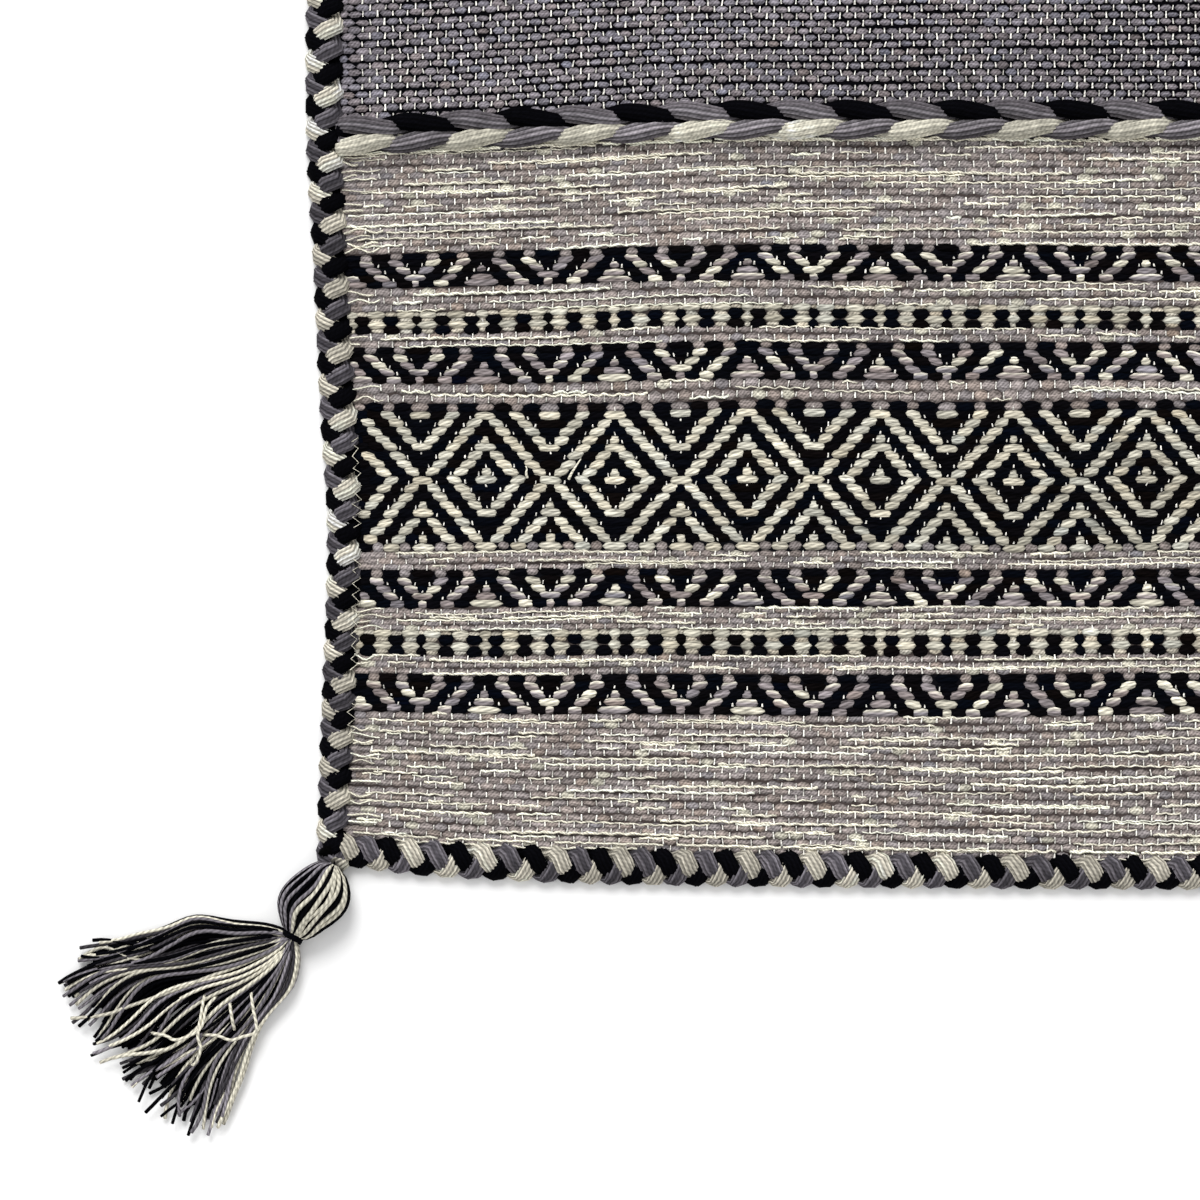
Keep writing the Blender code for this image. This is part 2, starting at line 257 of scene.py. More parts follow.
def new_piece(name, points, triangles, tints, yarn, bake, finish, nodes=()):
    """A piece from arrays: points in mm, triangles, a colour for each point, and for each corner of each
    triangle its place on the yarn (mm along, mm across) and in the piece's own flat map."""
    mesh = bpy.data.meshes.new(name)
    mesh.vertices.add(len(points))
    fill(mesh.vertices, "co", points * MM)
    mesh.loops.add(triangles.size)
    fill(mesh.loops, "vertex_index", triangles, np.int32)
    mesh.polygons.add(len(triangles))
    fill(mesh.polygons, "loop_start", np.arange(0, triangles.size, 3), np.int32)
    fill(mesh.polygons, "use_smooth", np.ones(len(triangles)), bool)
    mesh.update(calc_edges=True)
    for layer_name, places in (("yarn", yarn), ("OFBake", bake)):
        fill(mesh.uv_layers.new(name=layer_name, do_init=False).data, "uv", places)
    mesh.uv_layers["yarn"].active_render = True
    rgba = np.ones((len(points), 4))
    rgba[:, :3] = np.clip(linear(tints), 0, 1)
    fill(mesh.color_attributes.new("tint", "FLOAT_COLOR", "POINT").data, "color", rgba)
    mesh.materials.append(finish)
    piece = placed(name, mesh)
    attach(piece, "root")
    if nodes:
        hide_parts(*nodes)
    return piece


def cell_map(count, places):
    """A flat map of like shapes, each in a cell of its own: places are one shape's, from 0 to 1."""
    columns = math.ceil(math.sqrt(2 * count))
    number = np.arange(count)
    corner = np.stack([number % columns, number // columns], axis=1)[:, None, :]
    return (corner + 0.06 + 0.88 * places) / [columns, math.ceil(count / columns)]


def stamped(name, template, points, tints, along, across, finish):
    """A piece of the cloth made of many like small shapes. points, tints, along and across hold a row
    for each shape."""
    flat, triangles = template
    count, size = points.shape[:2]
    faces = (np.arange(count)[:, None, None] * size + triangles).reshape(-1, 3)
    yarn = np.stack([along, across], axis=2).reshape(-1, 2)[faces.ravel()]
    bake = cell_map(count, (flat + 1) / 2).reshape(-1, 2)[faces.ravel()]
    points, tints = points.reshape(-1, 3), tints.reshape(-1, 3)
    return new_piece(name, points, faces, tints, yarn, bake, finish)


def bead_template(columns):
    """A weft bead seen from above: two pointed ends and columns of three points between them."""
    stations = [*(-c for c in columns), *reversed(columns)]
    flat = [(-1.0, 0.0), *((s, t) for s in stations for t in (-1.0, 0.0, 1.0)), (1.0, 0.0)]
    triangles = [(0, 1, 2), (0, 2, 3)]
    for k in range(len(stations) - 1):
        a, b = 1 + 3 * k, 4 + 3 * k
        for side in (0, 1):
            corner = b + side + 1
            triangles += [(a + side, b + side, corner), (a + side, corner, a + side + 1)]
    last, tip = 1 + 3 * (len(stations) - 1), len(flat) - 1
    triangles += [(last, tip, last + 1), (last + 1, tip, last + 2)]
    return np.array(flat), np.array(triangles)


FINE_BEAD = bead_template((0.74, 0.28))
PLAIN_BEAD = bead_template((0.55,))
TICK_CORNERS = np.array([(-1.0, -1.0), (1.0, -1.0), (1.0, 1.0), (-1.0, 1.0)])
RAISED_TICK = (
    np.concatenate([TICK_CORNERS, [(0.0, 0.0)]]),
    np.array([(0, 1, 4), (1, 2, 4), (2, 3, 4), (3, 0, 4)]),
)
FLAT_TICK = (TICK_CORNERS, np.array([(0, 1, 2), (0, 2, 3)]))


# The weave


class Row:
    """One weft row: where it lies, how deep it is, and its floats as (first warp, last warp, kind)."""

    def __init__(self, y, pitch, floats, ticks, weave):
        self.y, self.pitch, self.floats, self.ticks, self.weave = y, pitch, floats, ticks, weave
        self.steps = {}


FIELD_TICK, LIGHT_TICK = 0.93, 0.95  # how long the warps show, against the row


def plain_row(y, pitch, number, kind):
    """Plain weave: beads over two warps, set one warp on in every other row, and a warp between them."""
    edges = sorted({0, *range(number % 2, WARP_COUNT + 1, 2), WARP_COUNT})
    floats = [(a, b, kind) for a, b in zip(edges, edges[1:])]
    length = FIELD_TICK if kind == "field" else LIGHT_TICK
    ticks = [(edge, length, 0.0) for edge in edges[1:-1] if 2 < edge < WARP_COUNT - 2]
    return Row(y, pitch, floats, ticks, kind)


def chart_cell(line, warp):
    place = warp % REPEAT
    return line[place if place < len(line) else REPEAT - place]


def chart_runs(line):
    """The runs of one chart line over all the warps: first warp, last warp, mark."""
    runs = []
    for warp in range(WARP_COUNT + 1):
        mark = chart_cell(line, warp)
        if runs and runs[-1][2] == mark:
            runs[-1][1] = warp
        else:
            runs.append([warp, warp, mark])
    return runs


CHART_MARKS = "#o."
CHART_KINDS = {
    "diamonds": ("black", "cream", "gap"),
    "zigzag": ("black", "mixed", "gap"),
    "dots": ("black dot", "dot", "between"),
}
OPEN_DOT_ROW = 2  # where nothing lies between the cream dots, so that the black ones meet
TICK_HIDDEN = 0.4  # the share of the charted bands' warps that the beads cover
STEP_TICK = (0.6, -0.2)  # how long a warp shows, and how far inwards it lies, against the row
CUP_TICK = (0.4, -0.7)


def charted_rows(weave, near_y, depth, count):
    """The rows of a charted band whose end nearest the cloth's end lies at near_y, measured inwards."""
    chart = CHARTS[weave]
    pitch = depth / count
    rows = []
    for number, line in enumerate(chart):
        y = near_y + depth - (number + 0.5) * pitch
        edge_black = random.integers(1, 4) if weave == "diamonds" else random.integers(0, 2)
        floats = []
        for first, last, mark in chart_runs(line):
            if weave == "dots" and mark == "." and number == OPEN_DOT_ROW:
                continue
            at_side = last < edge_black or first > WARP_COUNT - edge_black
            kind = CHART_KINDS[weave][CHART_MARKS.index(mark)]
            if at_side and mark != "." and weave != "dots":
                kind = "black"
            start, end = first - 0.5 + CHART_SHIFT, last + 0.5 + CHART_SHIFT
            floats.append((max(start, 0), min(end, WARP_COUNT), kind))
        rows.append(Row(y, pitch, floats, charted_ticks(chart, number), weave))
    return rows


def charted_ticks(chart, number):
    """Where a warp shows beside the floats: at the end that steps on, above a point and below a cup."""
    ticks = []
    if number + 1 == len(chart):
        return ticks
    for warp in range(4, WARP_COUNT - 3):
        if random.random() < TICK_HIDDEN:
            continue
        pair = chart[number : number + 2]
        marks, unders = ([chart_cell(line, warp + step) for step in (-1, 0, 1)] for line in pair)
        new = [m != "o" and u == "o" for m, u in zip(marks, unders)]
        gone = [m == "o" and u != "o" for m, u in zip(marks, unders)]
        if new in ([False, True, False], [True, True, True]):
            ticks.append((warp + CHART_SHIFT, *STEP_TICK))
        elif all(gone):
            ticks.append((warp + CHART_SHIFT, *CUP_TICK))
    return ticks


def panel_rows(end):
    """The patterned panel at one end of the cloth: end is -1 for the near one, 1 for the far one."""
    rows, start, number = [], 0.0, 0
    for weave, count, depth in BANDS:
        pitch = depth / count
        if weave == "light":
            rows += [plain_row(start + (k + 0.5) * pitch, pitch, number + k, weave) for k in range(count)]
        else:
            rows += charted_rows(weave, start, depth, count)
        number += count
        start += depth
    rows.sort(key=lambda row: row.y)
    for row in rows:
        row.y = end * (HALF_L - row.y)
    return rows, start


def field_rows(start):
    count = round(2 * (HALF_L - start) / FIELD_ROW)
    pitch = 2 * (HALF_L - start) / count
    return [plain_row(-HALF_L + start + (k + 0.5) * pitch, pitch, k, "field") for k in range(count)]


BEAD_KINDS = {  # colour, how far past its warps, width to row, height, base, pull to a point, thin end
    "light": (LIGHT_GROUND, 0.5, 1.38, 1.15, 2.75, 1.45, 0.68),
    "gap": (LIGHT_GROUND, -0.1, 1.25, 1.35, 2.8, 1.5, 0.5),
    "between": (BETWEEN_DOTS, 0.1, 1.3, 1.15, 2.7, 1.5, 0.5),
    "field": (FIELD, 0.5, 1.28, 1.4, 2.6, 1.8, 0.64),
    "cream": (CREAM, 1.0, 1.2, 1.5, 2.75, 1.6, 0.5),
    "mixed": (MIXED, 1.0, 1.13, 1.45, 2.75, 1.6, 0.5),
    "black": (BLACK, 1.15, 1.34, 1.5, 2.75, 1.5, 0.42),
    "dot": (CREAM, 1.35, 1.6, 1.6, 2.9, 1.6, 0.55),
    "black dot": (BLACK, 0.75, 2.15, 1.65, 2.85, 1.5, 0.45),
}
PLAIN_KINDS = ["light", "field", "gap", "between"]
SIDE_WARPS = 6  # how many warps from each side the plain beads lie longer and fuller
# How far the beads stray: in width, length and height as shares, and else in mm
WIDTH_STRAY, LENGTH_STRAY, HEIGHT_STRAY = 0.08, 0.03, 0.1
ACROSS_STRAY, ALONG_STRAY, TILT_STRAY, POINT_STRAY = 0.13, 0.15, 0.1, 0.07
RIM_RISE, TIP_RISE = 0.12, -0.15  # how high a bead's rims and tips lie, against its ridge
PLAIN_RIM_PAINTED_SHADE, FLOAT_RIM_PAINTED_SHADE, TIP_PAINTED_SHADE = 0.52, 0.72, 0.6  # painted shade: how light a bead's rims and tips are, against its ridge


def bead_table(rows, end):
    """A row for each bead: its middle, half length, half width, height, base, tilt and how it thins."""
    table, kinds = [], []
    for row in rows:
        for first, last, kind in row.floats:
            _, past, width, height, base, point, thin = BEAD_KINDS[kind]
            x = -HALF_W + WARP_PITCH * (first + last) / 2
            half = WARP_PITCH * (last - first) / 2 + past
            if kind in ("light", "field") and (last <= SIDE_WARPS or first >= WARP_COUNT - SIDE_WARPS):
                half, thin = half + 0.5, thin * 0.5
            tilt = 0.0
            if kind in ("cream", "mixed", "black") and row.weave in CHARTS:
                tilt = FLOAT_TILT * end * row.steps.get((first, last), 0)
            table.append((x, row.y, half, row.pitch * width / 2, height, base, tilt, point, thin))
            kinds.append(kind)
    return np.array(table), np.array(kinds)


def find_steps(rows):
    """Notes for each float which way the next row towards the cloth's end carries it on: 1 to the right,
    -1 to the left, and nothing where it goes both ways or ends."""
    for row, below in zip(rows[1:], rows):
        if row.weave not in CHARTS or below.weave != row.weave:
            continue
        for first, last, kind in row.floats:
            hits = [sum(f[:2]) / 2 for f in below.floats if f[2] == kind and f[0] < last and f[1] > first]
            if len(hits) == 1:
                shift = hits[0] - (first + last) / 2
                row.steps[(first, last)] = float(np.clip(shift, -1, 1))


def build_beads(name, rows, template, finish, end):
    find_steps(rows)
    table, kinds = bead_table(rows, end)
    count = len(table)
    x, y, half, wide, height, base, tilt, point, thin = table.T[..., None]
    s, t = template[0].T[:, None]
    plain = np.isin(kinds, PLAIN_KINDS)[:, None]
    rim, tip = np.abs(t) > 0.5, np.abs(s) > 0.99
    loose = waves(x, y, 4, 90)
    looser = 1 + 0.08 * loose + random.normal(0, WIDTH_STRAY, (count, 1))
    wide = wide * np.where(plain, looser, 1.0)
    y = row_wander(x, y) + np.where(plain, random.normal(0, ACROSS_STRAY, (count, 1)), 0)
    x = x + random.normal(0, ALONG_STRAY, (count, 1))
    half = half * (1 + random.normal(0, LENGTH_STRAY, (count, 1)))
    height = height * (1 + random.normal(0, HEIGHT_STRAY, (count, 1)))
    tilt = tilt + random.normal(0, TILT_STRAY, (count, 1))
    s = np.sign(s) * np.abs(s) ** point
    px = x + s * half
    stray = random.normal(0, POINT_STRAY, (count, s.shape[1]))
    py = y + t * wide * (1 - thin * np.abs(s) ** 1.7) + tilt * s + stray
    ridge = 1 - np.where(plain, 0.85, 0.6) * np.abs(s) ** 2.5
    pz = base + height * np.where(tip, TIP_RISE, np.where(rim, RIM_RISE, 1.0) * ridge)
    held = np.clip(px, -HALF_W, HALF_W)
    lx, ly = laid(held, py)
    points = np.stack([lx + np.clip(px - held, -0.5, 0.5), ly, pz], axis=2)
    # Painted shade: a bead's rims and tips are darker than its ridge, where they slope down and dive under
    # their neighbours.
    painted_shade = np.where(rim, np.where(plain, PLAIN_RIM_PAINTED_SHADE, FLOAT_RIM_PAINTED_SHADE), 1.0) * np.where(tip, TIP_PAINTED_SHADE, 1.0)
    tints = bead_tints(table, kinds)[:, None, :] * painted_shade[..., None]
    # Partly pale yarn and partly painted highlight: many mixed floats get a pale rim on their +Y side, which
    # faces the light.
    pale_yarn_and_highlight = ((kinds == "mixed") & (random.random(count) < 0.6))[:, None] & (t > 0.5)
    tints[pale_yarn_and_highlight] = np.array(PALE) * 0.95
    offset = random.uniform(0, 400, (count, 2))
    along = s * half * np.where(plain, 1.0, 0.3) + offset[:, :1]
    across = t * wide + offset[:, 1:]
    return stamped(name, template, points, tints, along, across, finish)


def row_wander(x, y):
    """Rows lie in slow waves, and each strays a little by itself, so gaps between them open and close."""
    return y + 0.42 * waves(x, y, 5, 120) + 0.32 * waves(x * 0.14, y * 2.3, 6, 9)


def bead_tints(table, kinds):
    """A colour for each bead: its yarn's, with the lot's uneven dye and a few paler or browner beads."""
    count = len(table)
    colour = np.array([BEAD_KINDS[kind][0] for kind in kinds], float)
    dye = waves(table[:, 0] * 0.15, table[:, 1], 9, 35)
    lit = 1 + 0.05 * dye + random.normal(0, 0.055, count)
    warm = random.normal(0, 2.2, count)[:, None] * np.array([1.0, 0.1, -1.0])
    colour = colour * lit[:, None] + warm
    pale = (kinds == "mixed") & (random.random(count) < 0.22)
    colour[pale] = np.array(CREAM) * random.uniform(0.95, 1.14, (pale.sum(), 1))
    stray = (kinds == "light") & (random.random(count) < 0.05)
    colour[stray] = np.array(PALE) * random.uniform(0.75, 0.95, (stray.sum(), 1))
    return np.clip(colour, 4, 252)


TICK_HALF = 0.23
TICK_LOW, TICK_TOP = 3.8, 4.3
LONGEST_TICK_ROW = 2.6
TICK_SHARE = 0.43  # half a warp's length where it fills its row, against the row


def build_ticks(name, rows, template, finish, end):
    """The white warps where they come up between two beads."""
    places = []
    for row in rows:
        for warp, length, shift in row.ticks:
            long = length * min(row.pitch, LONGEST_TICK_ROW) * TICK_SHARE
            places.append((-HALF_W + WARP_PITCH * warp, row.y - end * shift * row.pitch, long))
    x, y, long = np.array(places).T[..., None]
    count = len(x)
    y = row_wander(x, y)
    x = x + random.normal(0, 0.12, (count, 1))
    s, t = template[0].T[:, None]
    half = TICK_HALF * random.uniform(0.7, 1.25, (count, 1)) * (1 - 0.2 * t)
    long = long * random.uniform(0.75, 1.2, (count, 1))
    lean = random.normal(0, 0.1, (count, 1))
    lx, ly = laid(x + s * half + lean * t, y + t * long)
    pz = np.where((s == 0) & (t == 0), TICK_TOP, TICK_LOW) + 0 * lx
    colour = np.clip(np.array(TICK) * random.uniform(0.86, 1.02, (count, 1)), 0, 254)
    tints = np.repeat(colour[:, None, :], s.shape[1], axis=1)
    offset = random.uniform(0, 400, (count, 2))
    along, across = t * long + offset[:, :1], s * half + offset[:, 1:]
    return stamped(name, template, np.stack([lx, ly, pz], axis=2), tints, along, across, finish)


# Tubes: yarns, strands and threads


def tube_corners(rings, around):
    """One closed tube's triangles, each corner as (ring, step round): its tips are rings -1 and rings."""
    corners = []
    for r in range(rings - 1):
        for k in range(around):
            a, b, c, d = (r, k), (r, k + 1), (r + 1, k + 1), (r + 1, k)
            corners += [(a, b, c), (a, c, d)]
    for k in range(around):
        corners.append(((-1, k + 0.5), (0, k + 1), (0, k)))
        corners.append(((rings, k + 0.5), (rings - 1, k), (rings - 1, k + 1)))
    return np.array(corners, float)


UPWARDS = np.array([0.0, 0.0, 1.0])
TIP_REACH = 0.35  # how far a tube's tips stand out, against its half height
LOWEST = 0.05  # nothing lies lower over the floor


class Tubes:
    """Closed tubes that share one mesh."""

    def __init__(self):
        self.points, self.triangles, self.tints, self.yarn, self.maps = [], [], [], [], []
        self.size = 0

    def add(self, path, up, half_wide, half_high, profile, tints):
        """A tube along a path of points in mm. up is about its upper side, the half sizes may have a
        value for each ring, profile holds each point round it as (across, up), and tints is one colour,
        or one for each point round it, or for each ring and point round it."""
        rings, around = len(path), len(profile)
        ahead = np.gradient(path, axis=0)
        ahead /= np.linalg.norm(ahead, axis=1)[:, None]
        across = np.cross(up, ahead)
        across /= np.linalg.norm(across, axis=1)[:, None]
        above = np.cross(ahead, across)
        wide = np.broadcast_to(half_wide, rings)[:, None] * profile[:, 0]
        high = np.broadcast_to(half_high, rings)[:, None] * profile[:, 1]
        body = path[:, None] + across[:, None] * wide[..., None] + above[:, None] * high[..., None]
        reach = TIP_REACH * float(np.mean(half_high))
        tips = np.stack([path[0] - ahead[0] * reach, path[-1] + ahead[-1] * reach])
        colours = np.broadcast_to(tints, (rings, around, 3))
        end_tint = colours[[0, -1]].mean(axis=1)
        corners = tube_corners(rings, around)
        ring, step = corners[..., 0], corners[..., 1]
        index = 1 + ring * around + np.floor(step) % around
        index = np.where(ring < 0, 0, np.where(ring >= rings, 1 + rings * around, index))
        length = np.concatenate([[0], np.cumsum(np.linalg.norm(np.diff(path, axis=0), axis=1))])
        run = np.interp(ring.ravel(), np.arange(rings), length).reshape(ring.shape)
        girth = math.pi * float(np.mean(half_wide) + np.mean(half_high))
        seed = random.uniform(0, 300)
        self.points += [tips[:1], body.reshape(-1, 3), tips[1:]]
        self.tints += [end_tint[:1], colours.reshape(-1, 3), end_tint[1:]]
        self.triangles.append(index.astype(int) + self.size)
        self.yarn.append(np.stack([run + seed, step / around * girth], axis=-1).reshape(-1, 2))
        self.maps.append((ring, step, rings, around, float(length[-1]), girth))
        self.size += rings * around + 2

    def flat_map(self):
        """Every tube cut into strips of one length and laid side by side without touching."""
        area = sum(length * girth for *_, length, girth in self.maps)
        strip = max(math.sqrt(area), max(length / 40 for *_, length, _ in self.maps))
        total = sum(math.ceil(length / strip) * girth for *_, length, girth in self.maps)
        places, low = [], 0.0
        for ring, step, rings, around, length, girth in self.maps:
            folds = math.ceil(length / strip)
            span = math.ceil((rings - 1) / folds)
            first = np.clip(ring.min(axis=1), 0, rings - 2)
            fold = np.floor(first / span)[:, None]
            u = 0.002 + 0.996 * (ring - fold * span + 0.5) / (span + 1)
            v = (low + girth * (fold + 0.04 + 0.92 * step / around)) / total
            places.append(np.stack([u, v], axis=-1).reshape(-1, 2))
            low += folds * girth
        return np.concatenate(places)

    def piece(self, name, finish, slot, nodes=()):
        points = np.concatenate(self.points)
        points[:, 2] = np.maximum(points[:, 2], LOWEST)
        triangles, tints, yarn = map(np.concatenate, (self.triangles, self.tints, self.yarn))
        return new_piece(name, points, triangles, tints, yarn, self.flat_map(), finish, nodes)


def round_profile(count):
    turn = np.arange(count) * math.tau / count
    return np.stack([np.cos(turn), np.sin(turn)], axis=1)


def fluted_profile(yarns, depth, under):
    """A flat bundle: its upper half shows so many yarns with grooves between, its under side is plain."""
    upper = np.arange(2 * yarns + 1) * math.pi / (2 * yarns)
    lower = math.pi + np.arange(1, under + 1) * math.pi / (under + 1)
    turn = np.concatenate([upper, lower])
    groove = np.concatenate([np.arange(2 * yarns + 1) % 2 == 0, np.zeros(under, bool)])
    radius = np.where(groove, 1 - depth, 1.0)
    return np.stack([np.cos(turn) * radius, np.sin(turn) * radius], axis=1), groove


def bundle_tints(colours, groove, painted_groove_shade, lit):
    """Each yarn of a bundle takes one of its colours, and the grooves between them are darkened as painted
    shade. lit says how light each ring of the bundle is."""
    picks = np.array([colours[random.integers(len(colours))] for _ in range(len(groove))], float)
    picks *= random.uniform(0.86, 1.06, (len(groove), 1))
    picks[groove] *= painted_groove_shade
    return np.clip(np.clip(picks, 3, 250) * lit[:, None, None], 3, 250)


def yarn_tint(colour, low, high, darkest=4, lightest=250):
    """A yarn's colour, some way between two shares of its kind's."""
    return np.clip(np.array(colour, float) * random.uniform(low, high), darkest, lightest)


# Plaits round the edges

PLAIT_CREAM = (234, 227, 210)
PLAIT_GREYS = ((120, 116, 123), (80, 77, 83), (128, 123, 130))
PLAIT_COLOURS = ((PLAIT_CREAM,), PLAIT_GREYS, (BLACK,))
PLAIT_PROFILE, PLAIT_GROOVE = fluted_profile(6, 0.16, 3)
# Painted shade: how light the grooves between a plait's yarns are.
PLAIT_GROOVE_PAINTED_SHADE = 0.5
BUNDLE_HALF_WIDE, BUNDLE_HALF_HIGH, BUNDLE_SWELL = 3.0, 1.55, 0.13
PLAIT_SWING = 6.3
PLAIT_RISE = 1.2
PLAIT_LATE = 0.55
PLAIT_START = 0.75 * math.pi
PLAIT_ROLL = 6.5
PLAIT_LEAN = 0.62
PLAIT_MIDDLE = 2.4
PLAIT_WIDTH = 11.0
PLAIT_BASE = -1.4
PLAIT_DIVE = 3.3
PLAIT_LOW = 1.4
PLAIT_BOUND = 2.8  # how much of each end is dark where the corner is bound
END_PLAIT_BEYOND = 6.0  # how far the end plaits reach past the corners, where the part's stop short

# Where a cream bundle lies on the cloth's side of a plait, along Y or X, as far as the photo shows it
LEFT_LOBES = (
    (-443.5, -420.7, -400.5, -381.9, -360.8, -338.4, -316.3)
    + (-292.8, -270.2, -248.4, -226.6, -205.8, -183.5, -160.7)
)
NEAR_LOBES = (
    (-292.6, -271.1, -246.4, -220.9, -199.5, -178.0, -157.0)
    + (-135.0, -111.8, -90.4, -66.8, -41.5, -18.8)
)


def edge_foot(edge, at):
    """A place on the cloth's edge and on past its corner, and the way out from it."""
    side = -1 if edge in ("left", "near") else 1
    if edge in ("left", "right"):
        held = np.clip(at, -HALF_L, HALF_L)
        x, y = laid(np.full_like(at, side * HALF_W), held)
        return x, y + at - held, (side, 0)
    return *laid(at, np.full_like(at, side * HALF_L)), (0, side)


def turns_at(at, lobes, period):
    """How many turns of the plait lie between its first known lobe and each place."""
    lobes = np.array(lobes)
    known = np.interp(at, lobes, np.arange(len(lobes)))
    return known + (np.minimum(at - lobes[0], 0) + np.maximum(at - lobes[-1], 0)) / period


def build_plait(edge, way, reach, step, lobes, period, width_table, column, finish):
    """Three flat bundles plaited along an edge and rolled over it. way is 1 where the plait runs along
    +X or +Y and -1 where it runs back."""
    places = np.arange(-reach, reach + 0.01, step)
    x, y, out_way = edge_foot(edge, places)
    turns = way * turns_at(y if edge in ("left", "right") else x, lobes, period)
    width = through(width_table, column, places)
    tubes = Tubes()
    for number, colours in enumerate(PLAIT_COLOURS):
        phase = math.tau * turns - math.tau * number / 3 + PLAIT_START
        swing = PLAIT_SWING * np.sin(phase) * (1 + 0.12 * np.sin(phase * 3))
        rise = -PLAIT_RISE * np.sin(2 * phase - PLAIT_LATE)
        lean = PLAIT_LEAN - swing / PLAIT_ROLL
        out = width / PLAIT_WIDTH * (PLAIT_MIDDLE + (PLAIT_ROLL + rise) * np.sin(lean))
        up = PLAIT_BASE + (PLAIT_ROLL + rise) * np.cos(lean)
        up = up - PLAIT_DIVE * np.maximum(0, swing / PLAIT_SWING) ** 3
        up = np.maximum(up, PLAIT_LOW + 0.4 * rise)
        path = np.stack([x + out_way[0] * out, y + out_way[1] * out, up], axis=1)[::way]
        leaning = out_way[0] * np.sin(lean), out_way[1] * np.sin(lean), np.cos(lean)
        above = np.stack(leaning, axis=1)[::way]
        swell = (1 + BUNDLE_SWELL * np.sin(PLAIT_LATE - 2 * phase))[::way]
        lit = 1 + 0.1 * np.sin(places / 23 + number) + random.normal(0, 0.04, len(places))
        lit = lit * np.clip((reach - np.abs(places)) / PLAIT_BOUND, 0.08, 1.0)
        tints = bundle_tints(colours, PLAIT_GROOVE, PLAIT_GROOVE_PAINTED_SHADE, lit)
        tubes.add(path, above, BUNDLE_HALF_WIDE * swell, BUNDLE_HALF_HIGH * swell, PLAIT_PROFILE, tints)
    return tubes.piece(f"plait_{edge}_yarn", finish, "plait", [f"plait_{edge}"])


# Twined braids across the cloth

TWINE_PROFILE, TWINE_GROOVE = fluted_profile(5, 0.24, 3)
TWINE_GREYS = ((158, 152, 158), (124, 118, 124), (143, 138, 144))
TWINE_ROWS = (  # 1 for the inner row, its two strands' colours, painted shade in their grooves, where one comes up, pitch
    (1, ((BLACK,), TWINE_GREYS), (0.46, 0.46), -264.8, 36.75),
    (-1, ((PALE,), TWINE_GREYS), (0.72, 0.46), -284.2, 37.1),
)
TWINE_OUT, TWINE_SWING = 2.75, 1.25
TWINE_UP, TWINE_RISE = 5.0, 1.5
TWINE_HALF_WIDE, TWINE_HALF_HIGH, TWINE_SWELL = 2.6, 1.7, 0.36
TWINE_PAST = 1.0  # how far the strands reach past the cloth's sides


def build_braid(name, y_mid, step, finish):
    """Two rows of twined strands side by side: black with grey in the inner row, cream with grey in the
    outer one. Each strand comes over its partner and dives again."""
    inward = -1 if y_mid > 0 else 1
    places = np.arange(-HALF_W - TWINE_PAST, HALF_W + TWINE_PAST + 0.01, step)
    tubes = Tubes()
    for side, pair, painted_groove_shades, first_up, pitch in TWINE_ROWS:
        for number, (colours, painted_groove_shade) in enumerate(zip(pair, painted_groove_shades)):
            turn = math.tau * (places - first_up) / pitch + math.pi / 2 - math.pi * number
            over = np.sin(turn)
            aside = TWINE_SWING * np.cos(turn) * side
            up = TWINE_UP + TWINE_RISE * np.sign(over) * np.abs(over) ** 0.55
            held = np.clip(places, -HALF_W, HALF_W)
            x, y = laid(held, np.full_like(places, y_mid))
            path = np.stack([x + places - held, y + side * inward * TWINE_OUT + aside, up], axis=1)
            swell = 1 + TWINE_SWELL * np.sign(over) * np.abs(over) ** 0.8
            lit = 1 + 0.08 * np.sin(places / 31 + number) + random.normal(0, 0.04, len(places))
            tints = bundle_tints(colours, TWINE_GROOVE, painted_groove_shade, lit)
            wide, high = TWINE_HALF_WIDE * swell, TWINE_HALF_HIGH * swell
            tubes.add(path, UPWARDS, wide, high, TWINE_PROFILE, tints)
    return tubes.piece(f"{name}_yarn", finish, "twined_braid", [name])


# Tassels

SKIRT_GUIDES = (  # from the neck in mm, for a skirt that lies towards 220 degrees and is 82 mm long
    ((0, 0), (-10, 3.5), (-22, 5), (-32, 6.4), (-41, 3.3), (-53, 1.6), (-62, -1.2), (-71, -4.3)),
    ((0, 0), (-8, 1.5), (-20, 0.5), (-32, 0.5), (-45, -3.5), (-58, -8), (-70, -13), (-80, -16)),
    ((0, 0), (-8, -2), (-22, -5), (-38, -8.5), (-52, -11), (-64, -15), (-74, -20), (-80, -23)),
    ((0, 0), (-7, -5), (-20, -10), (-34, -13), (-48, -17), (-58, -24), (-66, -31), (-72, -36)),
    ((0, 0), (-6, -7), (-16, -13), (-28, -18), (-40, -24), (-50, -31), (-60, -38), (-67, -43)),
    ((0, 0), (-5, -9), (-14, -18), (-26, -26), (-36, -34), (-45, -42), (-54, -48), (-60, -52)),
    ((0, 0), (-4, -9), (-12, -20), (-22, -32), (-31, -43), (-38, -51), (-44, -57), (-49, -62)),
    ((0, 0), (-3, -9), (-9, -21), (-17, -33), (-24, -44), (-29, -54), (-32, -62), (-33, -69)),
    ((1, 0), (2, -8), (0, -17), (-7, -26), (-12, -34), (-17, -45), (-21, -55), (-23, -65)),
)
GUIDE_DEGREES, GUIDE_LENGTH, GUIDE_WIDTH = 220, 82.0, 78
GUIDE_STEPS = 80
